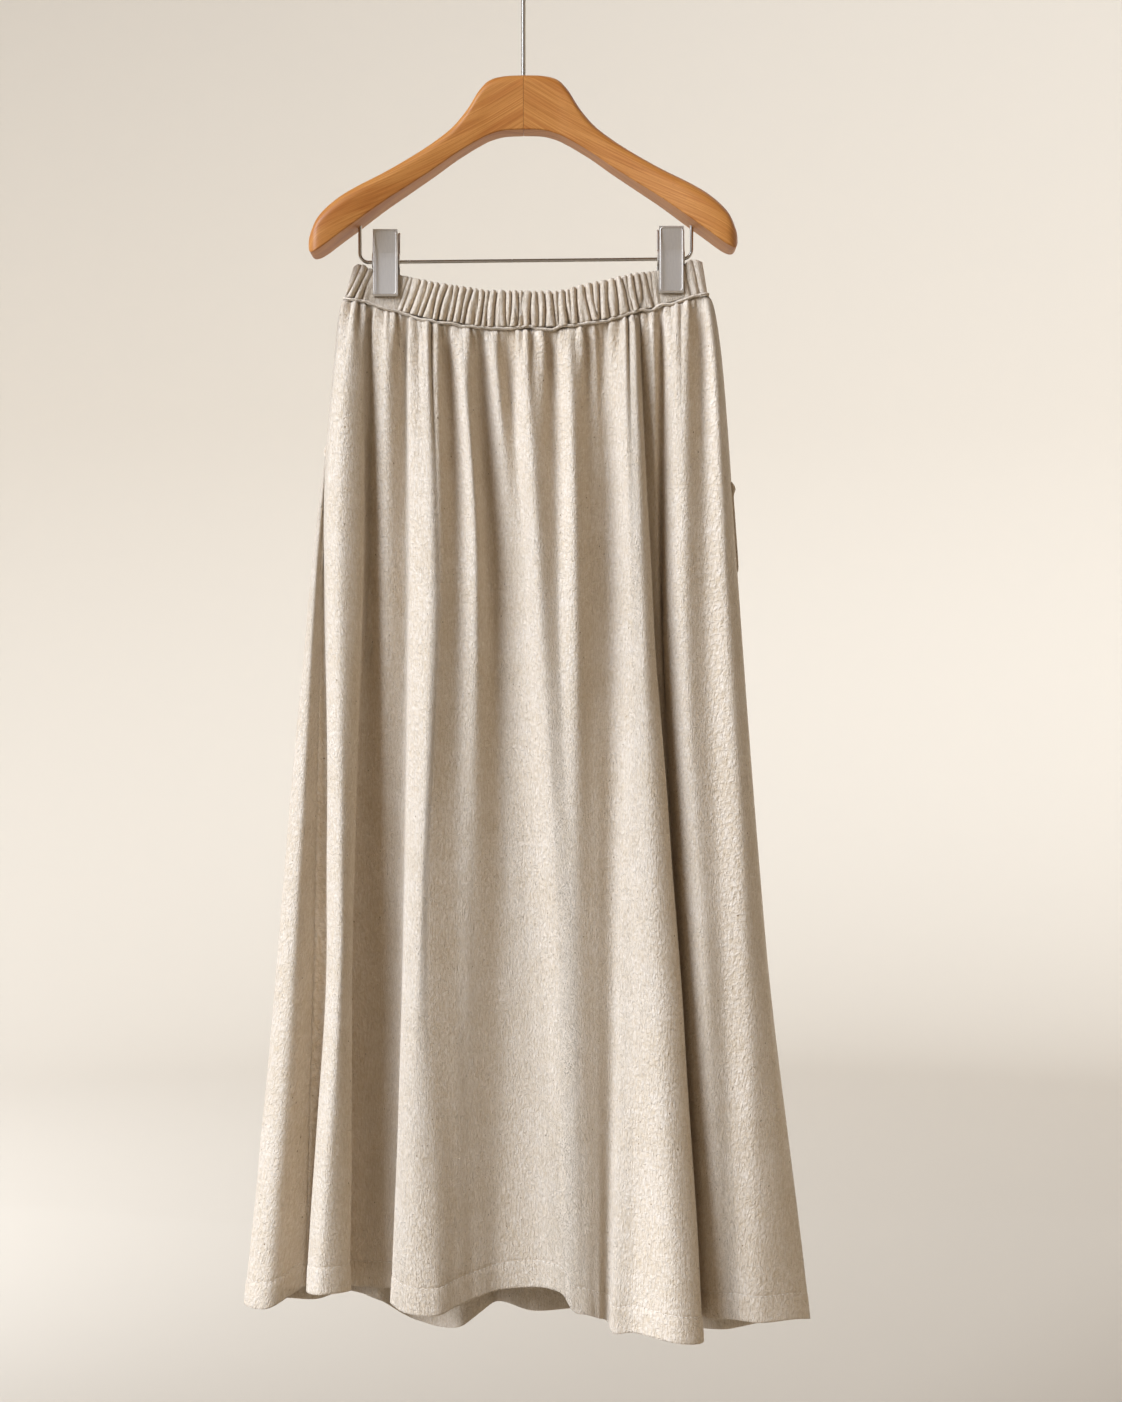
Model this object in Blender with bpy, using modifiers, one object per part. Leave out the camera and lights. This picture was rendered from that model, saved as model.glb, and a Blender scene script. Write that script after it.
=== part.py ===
"""A gathered maxi skirt hung by its waistband from a contoured wooden clip hanger.

Units are metres, +Z is up and the front of the skirt faces -Y. The origin is the highest
point inside the hook's crook, where a rail touches it.
"""

import math

import bmesh
import bpy
import numpy as np

MM = 0.001
TOUCH_GAP = 0.0003

# Cloth
CLOTH = 0.0014
WAIST_HALF = 0.181
WAIST_SHIFT = 0.0025
WAIST_TAPER = {"left": 0.050, "right": 0.028}
SEAM_SETBACK = 0.0015
PIPING_RADIUS = 0.00125
SEAM_HALF_GAP = 0.0017
PANEL_TOP = -0.350
HEM_LEVEL = -1.345
BACK_DROP = 0.045
PANEL_ROWS = 13
ROW_CROWDING = 1.35  # above 1, rows stand closer together near the waist, where the gathers are
SAMPLES_PER_KNOT = 2
SAMPLES_PER_BACK_KNOT = 3
STATION_DOWN = (0.0, 0.28, 0.63, 1.0)  # waist, hip, knee and hem, as shares of the panel's length

# Waist: how deep the flattened waist is, front to middle, and where the clips pinch it
WAIST_DEPTH = 0.0095
PINCHED_DEPTH = 0.0018
BAND_FOOT_PINCHED_DEPTH = 0.0036
SEAM_PINCHED_DEPTH = 0.0042
PINCH_FLAT = 0.016
PINCH_REACH = 0.020
WAIST_END_POWER = 12  # how squarely the flattened waist ends at its two folds
WAIST_LINE_EASE = 0.35  # share of smooth bend in the waist line between two places, the rest is straight
PINCHED_LEVEL = 0.28  # share of the band's height that the clips' jaws reach down to
RUFFLES_PER_SIDE = 22
SAMPLES_PER_RUFFLE = 4
RUFFLE_HEIGHT = 0.0022
RUFFLE_CROWDING = 0.86  # 1 would crowd the ruffles at the ends as a circle seen from its edge does
PIPING_STEPS = 34

# Hanger
ARM_REACH = 0.212
ARM_FORWARD = 0.014
ARM_EDGE = 0.0012
HANGER_TILT = 0.0113
STEM_RADIUS = 0.0023
STEM_DEPTH_IN_WOOD = 0.030
CROOK_INNER_RADIUS = 0.017
CROOK_NECK_RADIUS = 0.012
CROOK_END_ANGLE = 185.0
BORE_SPARE = 0.001
BAR_BORE_LENGTH = 0.040
WOOD_TOP = -0.127

# Clip bar and clips
BAR_RADIUS = 0.00175
BAR_LEFT = -0.3125
BAR_RIGHT = -0.309
BAR_END_X = {"left": -0.1635, "right": 0.1680}
BAR_BEND = 0.009
BAR_TOP = -0.262
CLIP_X = {"left": -0.1375, "right": 0.1475}
CLIP_BELOW = 0.035
CLIP_SHEET = 0.001
CLIP_FRONT_HALF_WIDTH = 0.01225
CLIP_BACK_HALF_WIDTH = 0.0137
SPRING_RADIUS = 0.0045
SPRING_HALF_LENGTH = 0.009
SPRING_STEPS = 14
PAD_THICKNESS = 0.0026
PAD_FACE = 0.0030
PAD_HEIGHT = 0.012
PAD_SIDE_GAP = 0.0004
PAD_ABOVE_JAW = 0.009

# The waist line, from the left end to the right: place across, top edge of the band, waist seam (mm)
WAIST_LINE = (
    # across  top    seam
    (-183, -319, -349),
    (-174, -316, -350),
    (-162, -321, -353),
    (-140, -324, -360),
    (-90, -337, -373),
    (-40, -344, -380),
    (30, -345, -380),
    (75, -335, -373),
    (123, -324, -361),
    (145, -319, -354),
    (160, -317, -350),
    (170, -311, -347),
    (185, -314, -345),
)

# Folds of the front panel, left seam to right seam, in mm. "x" is the place across and "out" how far
# the cloth stands forward of the middle plane, at the waist, hip, knee and hem. "drop" lengthens the hem.
FRONT_FOLDS = (
    # name            x waist  hip  knee   hem   out hip  knee  hem   drop
    ("seam_left",       -182, -204, -212, -221,       0,    2,   -2,    -8),
    ("tube_edge",       -180, -203, -202, -217,      20,   30,   34,   -12),
    ("tube_crest",      -174, -187, -190, -202,      38,   50,   60,   -15),
    ("tube_back_edge",  -165, -166, -174, -175,      26,   34,   40,   -14),
    ("recess_wall",     -160, -163, -179, -184,       6,    6,    4,    -8),
    ("recess_floor",    -154, -156, -161, -163,       1,    2,    0,    -5),
    ("recess_far",      -138, -138, -132, -127,      13,   10,    5,    -5),
    ("broad_edge",      -118, -114, -122, -133,      27,   36,   40,    -2),
    ("broad_crest",     -101, -101, -111, -118,      43,   53,   58,     0),
    ("broad_flank",      -78,  -79,  -80,  -86,      22,   38,   44,     2),
    ("slim_ridge",       -63,  -55,  -56,  -66,      36,   36,   32,    -2),
    ("slim_valley",      -47,  -33,  -33,  -48,      12,   24,   20,    -5),
    ("centre_rise",      -22,  -12,   -5,  -10,      26,   38,   38,   -14),
    ("centre_crest",      -2,   12,   28,   38,      42,   57,   62,   -18),
    ("centre_crease",     27,   26,   38,   46,      35,   56,   63,    -8),
    ("centre_edge",       41,   45,   48,   55,      45,   58,   66,     4),
    ("centre_valley",     76,   77,   72,   78,      24,   40,   46,    13),
    ("apron_rise",        94,  104,  112,  115,      50,   70,   82,    19),
    ("apron_crest",      108,  119,  136,  150,      44,   68,   84,    26),
    ("apron_edge",       115,  127,  152,  172,      26,   42,   52,    30),
    ("dark_wall",        129,  128,  147,  166,       6,    9,    8,    24),
    ("dark_floor",       139,  137,  154,  176,       0,    2,    0,    20),
    ("side_edge",        145,  146,  165,  190,      26,   17,   14,    20),
    ("side_ridge",       154,  155,  172,  202,      36,   30,   27,    17),
    ("side_valley",      168,  178,  187,  212,      18,   25,   34,    15),
    ("side_crest",       175,  195,  207,  223,      26,   34,   44,    16),
    ("side_flank",       180,  208,  234,  268,      10,    9,    8,    18),
    ("seam_right",       182,  212,  240,  285,      -2,   -6,  -12,    27),
)

# Folds of the back panel, right seam to left seam; "out" is negative towards the back
BACK_FOLDS = (
    # name            x waist  hip  knee   hem   out hip  knee  hem   drop
    ("seam_right",       182,  212,  240,  285,      -2,   -6,  -12,   -18),
    ("right_turn",       178,  206,  234,  279,     -14,  -22,  -32,   -14),
    ("ridge_1",          165,  186,  206,  236,     -38,  -56,  -72,     2),
    ("valley_1",         140,  150,  165,  190,     -15,  -22,  -28,    -6),
    ("ridge_2",          112,  118,  128,  148,     -42,  -64,  -84,     6),
    ("valley_2",          84,   84,   92,  104,     -16,  -26,  -34,    -4),
    ("ridge_3",           56,   52,   56,   64,     -44,  -66,  -82,     8),
    ("valley_3",          26,   20,   18,   16,     -14,  -24,  -30,    -4),
    ("ridge_4",           -4,  -14,  -22,  -32,     -40,  -60,  -80,     5),
    ("valley_4",         -36,  -48,  -60,  -74,     -18,  -28,  -34,    -2),
    ("ridge_5",          -66,  -82, -100, -120,     -44,  -64,  -84,     0),
    ("valley_5",         -98, -116, -134, -152,     -15,  -20,  -22,    -8),
    ("ridge_6",         -128, -146, -168, -192,     -38,  -58,  -74,   -12),
    ("valley_6",        -148, -171, -190, -212,     -17,  -24,  -26,   -22),
    ("wing_back",       -157, -196, -224, -252,     -25,  -36,  -46,   -30),
    ("wing_crest",      -166, -216, -247, -281,     -10,   -8,   -6,   -37),
    ("wing_front",      -173, -211, -236, -264,       3,   12,   18,   -38),
    ("seam_left",       -182, -204, -212, -221,       0,    2,   -2,   -53),
)

# Wooden arm, middle to tip: place across, top and bottom of the front face, full depth (mm)
ARM_SECTIONS = (
    # across  top  bottom  depth
    (0, -127, -183, 29),
    (20, -128, -184, 29),
    (34, -132, -188, 29),
    (44, -142, -193, 30),
    (56, -161, -200, 31),
    (70, -178, -209, 32),
    (88, -193, -222, 34),
    (110, -208, -237, 37),
    (138, -225, -256, 42),
    (166, -240, -277, 47),
    (182, -250, -289, 48),
    (196, -262, -300, 47),
    (204, -272, -305, 44),
    (209, -283, -306, 36),
    (212, -291, -303, 26),
)

# Clip plate, top to bottom: height over the bar, distance of the face from the middle, flange depth (mm)
CLIP_SECTIONS = (
    # height  face  flange
    (31.0, 10.4, 2.0),
    (30.0, 10.2, 2.6),
    (10.5, 7.6, 3.4),
    (7.5, 7.2, 8.5),
    (3.0, 7.0, 10.6),
    (-3.0, 7.0, 10.2),
    (-5.0, 7.0, 8.0),
    (-6.0, 7.0, 2.9),
    (-33.0, 7.0, 2.6),
    (-35.0, 6.2, 2.0),
)

# In-seam pockets: a mouth in each side seam, and a flat bag that hangs inside it
POCKET_MOUTH_TOP = -0.492
POCKET_MOUTH_BOTTOM = -0.622
POCKET_BOTTOM = -0.735
POCKET_GAPE = 0.0022
POCKET_WALL = 0.0011
POCKET_GAPE_REACH = 0.010
POCKET_INSET = 0.0040
POCKET_LEAN = 0.20  # how far the closed edge leaves the seam for each unit below the mouth
POCKET_REACH = 0.062
POCKET_SINK = 0.0065
POCKET_BEHIND_SEAM = 0.0008
POCKET_LEVELS = 10
POCKET_COLUMNS = 6
POCKET_SIDES = {"left": 1, "right": -1}

# Materials: name, colour (linear RGB), roughness, metallic
FINISHES = {
    "linen": ((0.80, 0.70, 0.57), 0.9, 0.0),
    "wood": ((0.50, 0.22, 0.075), 0.45, 0.0),
    "steel": ((0.62, 0.60, 0.57), 0.25, 1.0),
    "rubber": ((0.03, 0.03, 0.03), 0.8, 0.0),
}


def clear_scene():
    for old in list(bpy.data.objects):
        bpy.data.objects.remove(old, do_unlink=True)


def new_collection(name):
    collection = bpy.data.collections.new(name)
    bpy.context.scene.collection.children.link(collection)
    return collection


clear_scene()
PARTS = new_collection("maxi_skirt_on_hanger")
CUTTERS = new_collection("cutters")


def material_for(name, finish):
    colour, roughness, metallic = FINISHES[finish]
    material = bpy.data.materials.new(name)
    material.use_nodes = True
    shader = material.node_tree.nodes["Principled BSDF"]
    shader.inputs["Base Color"].default_value = (*colour, 1.0)
    shader.inputs["Roughness"].default_value = roughness
    shader.inputs["Metallic"].default_value = metallic
    return material


def add_part(name, data, finish):
    part = bpy.data.objects.new(name, data)
    PARTS.objects.link(part)
    data.materials.append(material_for(name, finish))
    return part


def shade(part, sharp_degrees=40.0):
    part.data.shade_smooth()
    part.data.set_sharp_from_angle(angle=math.radians(sharp_degrees))


def mesh_from(name, vertices, faces):
    mesh = bpy.data.meshes.new(name)
    mesh.from_pydata(vertices, [], faces)
    work = bmesh.new()
    work.from_mesh(mesh)
    bmesh.ops.recalc_face_normals(work, faces=work.faces)
    work.to_mesh(mesh)
    work.free()
    return mesh


def skin_faces(row_count, count, ring):
    """Four-sided faces between neighbouring rows; a ring joins each row's end to its start."""
    faces = []
    for row in range(row_count - 1):
        low = row * count
        for column in range(count if ring else count - 1):
            after = (column + 1) % count
            faces.append((low + column, low + after, low + count + after, low + count + column))
    return faces


def loft(name, sections):
    """A closed skin over a row of sections that have the same number of points."""
    count = len(sections[0])
    last = (len(sections) - 1) * count
    vertices = [point for section in sections for point in section]
    faces = skin_faces(len(sections), count, ring=True)
    faces.append(tuple(range(count)))
    faces.append(tuple(last + column for column in range(count)))
    return mesh_from(name, vertices, faces)


def grid_mesh(name, rows, ring):
    """An open sheet from rows of points; a ring joins each row's end to its start."""
    vertices = [point for row in rows for point in row]
    return mesh_from(name, vertices, skin_faces(len(rows), len(rows[0]), ring))


def thicken(part, thickness):
    solidify = part.modifiers.new("cloth_wall", "SOLIDIFY")
    solidify.thickness = thickness
    solidify.offset = 0.0


def wire(name, points, radius, finish, cyclic=False):
    curve = bpy.data.curves.new(name, "CURVE")
    curve.dimensions = "3D"
    curve.bevel_depth = radius
    curve.bevel_resolution = 2
    curve.use_fill_caps = True
    spline = curve.splines.new("POLY")
    spline.points.add(len(points) - 1)
    for spot, point in zip(spline.points, points):
        spot.co = (*point, 1.0)
    spline.use_cyclic_u = cyclic
    return add_part(name, curve, finish)


def arc_points(centre, radius, start_degrees, end_degrees, steps):
    angles = [start_degrees + (end_degrees - start_degrees) * step / steps for step in range(steps + 1)]
    return [
        (
            centre[0] + radius * math.cos(math.radians(angle)),
            0.0,
            centre[1] + radius * math.sin(math.radians(angle)),
        )
        for angle in angles
    ]


def cylinder_cutter(name, radius, depth, location, rotation=(0.0, 0.0, 0.0)):
    mesh = bpy.data.meshes.new(name)
    work = bmesh.new()
    bmesh.ops.create_cone(
        work, cap_ends=True, segments=16, radius1=radius, radius2=radius, depth=depth
    )
    work.to_mesh(mesh)
    work.free()
    cutter = bpy.data.objects.new(name, mesh)
    cutter.location = location
    cutter.rotation_euler = rotation
    cutter.hide_render = True
    cutter.display_type = "WIRE"
    CUTTERS.objects.link(cutter)
    return cutter


def cut(part, cutter):
    boolean = part.modifiers.new(cutter.name, "BOOLEAN")
    boolean.operation = "DIFFERENCE"
    boolean.object = cutter


# Curves that the cloth follows


def eased(stations, values, at):
    """Values at the stations joined by a smooth curve that never overshoots them."""
    stations = np.sqrt(np.asarray(stations))
    at = math.sqrt(at)
    values = np.asarray(values, dtype=float)
    widths = np.diff(stations)
    steps = np.diff(values) / widths
    slopes = np.zeros(len(values))
    slopes[0] = steps[0]
    slopes[-1] = steps[-1]
    for index in range(1, len(values) - 1):
        if steps[index - 1] * steps[index] > 0:
            slopes[index] = 2 * steps[index - 1] * steps[index] / (steps[index - 1] + steps[index])
    index = min(int(np.searchsorted(stations, at, side="right")) - 1, len(widths) - 1)
    share = (at - stations[index]) / widths[index]
    return (
        values[index] * (1 + 2 * share) * (1 - share) ** 2
        + slopes[index] * widths[index] * share * (1 - share) ** 2
        + values[index + 1] * share**2 * (3 - 2 * share)
        + slopes[index + 1] * widths[index] * share**2 * (share - 1)
    )


def smooth_curve(knots, samples):
    """A smooth curve through the knots (centripetal Catmull-Rom), with samples in each interval."""
    knots = np.asarray(knots, dtype=float)
    ends = np.vstack([2 * knots[0] - knots[1], knots, 2 * knots[-1] - knots[-2]])
    spans = np.maximum(np.linalg.norm(np.diff(ends, axis=0)[:, :2], axis=1), 1e-6) ** 0.5
    steps = np.diff(ends, axis=0) / spans[:, None]
    across = (ends[2:] - ends[:-2]) / (spans[:-1] + spans[1:])[:, None]
    tangents = steps[:-1] - across + steps[1:]
    points = []
    for index in range(len(knots) - 1):
        width = spans[index + 1]
        for step in range(samples):
            t = step / samples
            points.append(
                knots[index] * (1 + 2 * t) * (1 - t) ** 2
                + tangents[index] * width * t * (1 - t) ** 2
                + knots[index + 1] * t * t * (3 - 2 * t)
                + tangents[index + 1] * width * t * t * (t - 1)
            )
    points.append(knots[-1])
    return np.array(points)


def waist_line(across):
    """Heights of the band's top edge and of the waist seam at a place across the waist."""
    table = np.array(WAIST_LINE) * MM
    places = table[:, 0]
    at = min(max(across, places[0]), places[-1])
    index = min(max(int(np.searchsorted(places, at)) - 1, 0), len(places) - 2)
    share = (at - places[index]) / (places[index + 1] - places[index])
    bend = share * share * (3 - 2 * share)
    share += (bend - share) * WAIST_LINE_EASE
    return tuple(table[index, 1:] + (table[index + 1, 1:] - table[index, 1:]) * share)


def pinch(across):
    """1 under a clip's jaws, falling to 0 away from them."""
    distance = min(abs(across + WAIST_SHIFT - place) for place in CLIP_X.values())
    outside = max(distance - PINCH_FLAT, 0.0)
    return math.exp(-((outside / PINCH_REACH) ** 2))


def waist_depth(across, pinched_depth):
    """How far the flattened waist stands from its middle plane, closing to its folded ends."""
    open_depth = WAIST_DEPTH + (pinched_depth - WAIST_DEPTH) * pinch(across)
    end = max(1.0 - (abs(across) / WAIST_HALF) ** WAIST_END_POWER, 0.0)
    return open_depth * math.sqrt(end)


def panel_rows(folds, side):
    """Rows of points down a panel; side is 1 for the front and -1 for the back."""
    table = np.array([row[1:] for row in folds], dtype=float) * MM
    waist_out = np.array([side * waist_depth(x, SEAM_PINCHED_DEPTH) for x in table[:, 0]])
    hems = HEM_LEVEL - table[:, 7] - (BACK_DROP if side < 0 else 0.0)
    samples = SAMPLES_PER_KNOT if side > 0 else SAMPLES_PER_BACK_KNOT
    rows = []
    for row in range(PANEL_ROWS):
        down = (row / (PANEL_ROWS - 1)) ** ROW_CROWDING
        knots = [
            (
                eased(STATION_DOWN, values[0:4], down),
                eased(STATION_DOWN, (out, *values[4:7]), down),
                values[0],
                hem,
            )
            for values, out, hem in zip(table, waist_out, hems)
        ]
        points = smooth_curve(knots, samples)
        points[0] = set_back(points[0], points[1])
        points[-1] = set_back(points[-1], points[-2])
        line = []
        for across, out, waist_across, hem in points:
            top = waist_line(waist_across)[1] - SEAM_HALF_GAP
            z = top + (hem - top) * down
            line.append((across + WAIST_SHIFT, -out - mouth_shift(across, z, side), z))
        rows.append(line)
    return rows


def set_back(end, neighbour):
    """The seam edge moved a little way into its own panel, clear of the other panel's edge."""
    step = neighbour - end
    return end + step * SEAM_SETBACK / max(np.linalg.norm(step[:2]), SEAM_SETBACK)


def mouth_shift(x, z, side):
    """The pocket mouths gape: near them the front edge moves forward and the back edge back."""
    middle = (POCKET_MOUTH_TOP + POCKET_MOUTH_BOTTOM) / 2
    half = (POCKET_MOUTH_TOP - POCKET_MOUTH_BOTTOM) / 2
    along = max(1.0 - ((z - middle) / half) ** 2, 0.0)
    edge = min(abs(x - seam_point(pocket, z)[0]) for pocket in POCKET_SIDES)
    return side * POCKET_GAPE * along * math.exp(-((edge / POCKET_GAPE_REACH) ** 2))


def seam_point(pocket, z):
    """Where a side seam lies at a height: its place across and how far forward it is."""
    row = FRONT_FOLDS[0 if pocket == "left" else -1]
    down = min(max((z - PANEL_TOP) / (HEM_LEVEL - PANEL_TOP), 0.0), 1.0)
    across = eased(STATION_DOWN, row[1:5], down) * MM
    out = eased(STATION_DOWN, (0.0, *row[5:8]), down) * MM
    return across, out


def make_panel(name, folds, side):
    part = add_part(name, grid_mesh(name, panel_rows(folds, side), ring=False), "linen")
    thicken(part, CLOTH)
    shade(part)
    return part


def waist_ring(height_share, pinched_depth):
    """One level of the band: along the front from left to right, then back along the back."""
    count = RUFFLES_PER_SIDE * SAMPLES_PER_RUFFLE
    ring = []
    for side in (1, -1):
        for step in range(count):
            share = (step + 0.5) / count
            crowded = math.cos(math.pi * share) * RUFFLE_CROWDING
            even = (1 - 2 * share) * (1 - RUFFLE_CROWDING)
            across = -side * WAIST_HALF * (crowded + even)
            depth = waist_depth(across, pinched_depth)
            room = min(depth / WAIST_DEPTH * 1.6, 1.0) * (1.0 - 0.9 * pinch(across))
            ruffle = RUFFLE_HEIGHT * room * math.sin(2 * math.pi * (step + 0.5) / SAMPLES_PER_RUFFLE)
            top, seam = waist_line(across)
            low = seam + SEAM_HALF_GAP
            taper = WAIST_TAPER["left" if across < 0 else "right"]
            narrowed = across * (1.0 - taper * height_share)
            height = low + (top - low) * height_share
            ring.append((narrowed + WAIST_SHIFT, -side * (depth + ruffle), height))
    return ring


def make_waistband():
    levels = [
        waist_ring(1.0, PINCHED_DEPTH),
        waist_ring(PINCHED_LEVEL, PINCHED_DEPTH),
        waist_ring(0.0, BAND_FOOT_PINCHED_DEPTH),
    ]
    part = add_part("waistband", grid_mesh("waistband", levels, ring=True), "linen")
    thicken(part, CLOTH)
    shade(part)


def make_piping():
    """A thin corded ridge that runs all round the waist seam."""
    proud = PIPING_RADIUS / 2
    points = []
    for side in (1, -1):
        for step in range(PIPING_STEPS):
            across = -side * (WAIST_HALF + proud) * math.cos(math.pi * (step + 0.5) / PIPING_STEPS)
            out = side * (waist_depth(across, SEAM_PINCHED_DEPTH) + proud)
            points.append((across + WAIST_SHIFT, -out, waist_line(across)[1]))
    piping = wire("waist_piping", points, PIPING_RADIUS, "linen", cyclic=True)
    piping.data.bevel_resolution = 1


def make_pocket(side_name, inward):
    """A flat bag of folded cloth inside the skirt, open along the side seam."""
    rows = []
    for level in range(POCKET_LEVELS):
        down = level / (POCKET_LEVELS - 1)
        z = POCKET_MOUTH_TOP + (POCKET_BOTTOM - POCKET_MOUTH_TOP) * down
        seam_x, seam_out = seam_point(side_name, z)
        round_top = math.sqrt(1.0 - max(0.75 - 4.0 * down, 0.0) ** 2)
        round_bottom = math.sqrt(max(1.0 - max(2.6 * down - 1.66, 0.0) ** 2, 0.06))
        reach = POCKET_REACH * min(round_top, round_bottom)
        past_mouth = max(z, POCKET_MOUTH_BOTTOM) - z
        near = POCKET_INSET + POCKET_LEAN * past_mouth
        line = []
        for step in range(POCKET_COLUMNS):
            along = near + (reach - near) * step / (POCKET_COLUMNS - 1)
            sink = POCKET_BEHIND_SEAM + POCKET_SINK * math.sin(along / POCKET_REACH * math.pi / 2)
            line.append((seam_x + WAIST_SHIFT + inward * along, seam_out - sink))
        front = [(x, -(out + POCKET_WALL), z) for x, out in line]
        back = [(x, -(out - POCKET_WALL), z) for x, out in reversed(line)]
        rows.append(front + back)
    name = "pocket_" + side_name
    part = add_part(name, grid_mesh(name, rows, ring=False), "linen")
    thicken(part, POCKET_WALL)
    shade(part)


# Hanger


def arm_section(across, top, bottom, depth):
    """The wood's outline at one place: crisp lower edges, round upper edges."""
    across, top, bottom, depth = (value * MM for value in (across, top, bottom, depth))
    half = depth / 2
    middle = -ARM_FORWARD * (across / ARM_REACH) ** 2
    soft = min(0.35 * (top - bottom), 0.30 * depth)
    outline = [
        (-half, bottom + ARM_EDGE),
        (-half + ARM_EDGE, bottom),
        (half - ARM_EDGE, bottom),
        (half, bottom + ARM_EDGE),
        (half, top - soft),
        (half - 0.30 * soft, top - 0.30 * soft),
        (half - soft, top),
        (-half + soft, top),
        (-half + 0.30 * soft, top - 0.30 * soft),
        (-half, top - soft),
    ]
    return [(across, middle + y, z) for y, z in outline]


def tilted(point):
    """The hanger hangs a little down to the left."""
    return (point[0], point[1], point[2] + HANGER_TILT * point[0])


def make_arms():
    sections = [arm_section(*row) for row in ARM_SECTIONS]
    sections[0] = [(TOUCH_GAP / 2, y, z) for _, y, z in sections[0]]
    for name, sign in (("hanger_arm_left", -1), ("hanger_arm_right", 1)):
        mirrored = [[tilted((sign * x, y, z)) for x, y, z in section] for section in sections]
        arm = add_part(name, loft(name, mirrored), "wood")
        cut(arm, bpy.data.objects["stem_bore"])
        cut(arm, bpy.data.objects["bar_bore_left" if sign < 0 else "bar_bore_right"])
        shade(arm, 32.0)


def make_bores():
    """Holes in the wood for the hook's stem and for the two ends of the clip bar."""
    depth = STEM_DEPTH_IN_WOOD + BORE_SPARE
    cylinder_cutter("stem_bore", STEM_RADIUS + TOUCH_GAP, 2 * depth, (0, 0, WOOD_TOP))
    low = BAR_TOP - BAR_BORE_LENGTH
    high = BAR_TOP + BORE_SPARE
    for side_name, across in BAR_END_X.items():
        name = "bar_bore_" + side_name
        cylinder_cutter(name, BAR_RADIUS + TOUCH_GAP, high - low, (across, 0, (low + high) / 2))


def make_hook():
    """Straight stem, a short bend to the right, then the crook round over the stem's axis."""
    crook = CROOK_INNER_RADIUS + STEM_RADIUS
    reach = crook + CROOK_NECK_RADIUS
    crook_centre = (0.0, -CROOK_INNER_RADIUS)
    rise = math.sqrt(reach**2 - CROOK_NECK_RADIUS**2)
    neck_centre = (CROOK_NECK_RADIUS, crook_centre[1] - rise)
    turn = math.degrees(math.atan2(rise, CROOK_NECK_RADIUS))
    points = [(0.0, 0.0, WOOD_TOP - STEM_DEPTH_IN_WOOD), (0.0, 0.0, (WOOD_TOP + neck_centre[1]) / 2)]
    points += arc_points(neck_centre, CROOK_NECK_RADIUS, 180.0, 180.0 - turn, 6)
    points += arc_points(crook_centre, crook, -turn, CROOK_END_ANGLE, 30)[1:]
    wire("hook", points, STEM_RADIUS, "steel")


def make_bar():
    bend = BAR_BEND
    left, right = BAR_END_X["left"], BAR_END_X["right"]
    points = [(left, 0.0, BAR_TOP)]
    points += arc_points((left + bend, BAR_LEFT + bend), bend, 180.0, 270.0, 6)
    points += arc_points((right - bend, BAR_RIGHT + bend), bend, 270.0, 360.0, 6)
    points += [(right, 0.0, BAR_TOP)]
    wire("clip_bar", points, BAR_RADIUS, "steel")


def bar_slope():
    run = BAR_END_X["right"] - BAR_END_X["left"] - 2 * BAR_BEND
    return (BAR_RIGHT - BAR_LEFT) / run


def bar_height(across):
    return BAR_LEFT + bar_slope() * (across - BAR_END_X["left"] - BAR_BEND)


def plate_section(half_width, face, flange, height, side):
    """A channel: a flat face with two flanges that point to the other plate."""
    sheet = CLIP_SHEET
    outline = [
        (-half_width, face),
        (half_width, face),
        (half_width, face - flange),
        (half_width - sheet, face - flange),
        (half_width - sheet, face - sheet),
        (-half_width + sheet, face - sheet),
        (-half_width + sheet, face - flange),
        (-half_width, face - flange),
    ]
    return [(x, -side * y, height) for x, y in outline]


def make_clip(side_name, across):
    """Two channel plates on the bar, a spring between them, and a soft pad in each jaw."""
    centre = (across, 0.0, bar_height(across))
    along_bar = (0.0, math.pi / 2 - math.atan(bar_slope()), 0.0)
    bore = cylinder_cutter(
        "clip_bore_" + side_name, BAR_RADIUS + TOUCH_GAP, 0.040, centre, along_bar
    )
    for face_name, side, half_width in (
        ("front", 1, CLIP_FRONT_HALF_WIDTH),
        ("back", -1, CLIP_BACK_HALF_WIDTH),
    ):
        name = f"clip_{side_name}_{face_name}"
        sections = [
            plate_section(half_width, face * MM, flange * MM, height * MM, side)
            for height, face, flange in CLIP_SECTIONS
        ]
        plate = add_part(name, loft(name, sections), "steel")
        plate.location = centre
        cut(plate, bore)
        shade(plate)
        make_pad(f"clip_{side_name}_{face_name}_pad", side, centre)
    make_spring("clip_" + side_name + "_spring", centre)


def make_pad(name, side, centre):
    mesh = bpy.data.meshes.new(name)
    work = bmesh.new()
    bmesh.ops.create_cube(work, size=1.0)
    half_width = CLIP_FRONT_HALF_WIDTH - CLIP_SHEET - PAD_SIDE_GAP
    bmesh.ops.scale(work, vec=(2 * half_width, PAD_THICKNESS, PAD_HEIGHT), verts=work.verts)
    work.to_mesh(mesh)
    work.free()
    pad = add_part(name, mesh, "rubber")
    middle = PAD_FACE + PAD_THICKNESS / 2
    pad.location = (centre[0], -side * middle, centre[2] - CLIP_BELOW + PAD_ABOVE_JAW)
    bevel = pad.modifiers.new("soft_edges", "BEVEL")
    bevel.width = 0.0006
    bevel.segments = 1


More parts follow.
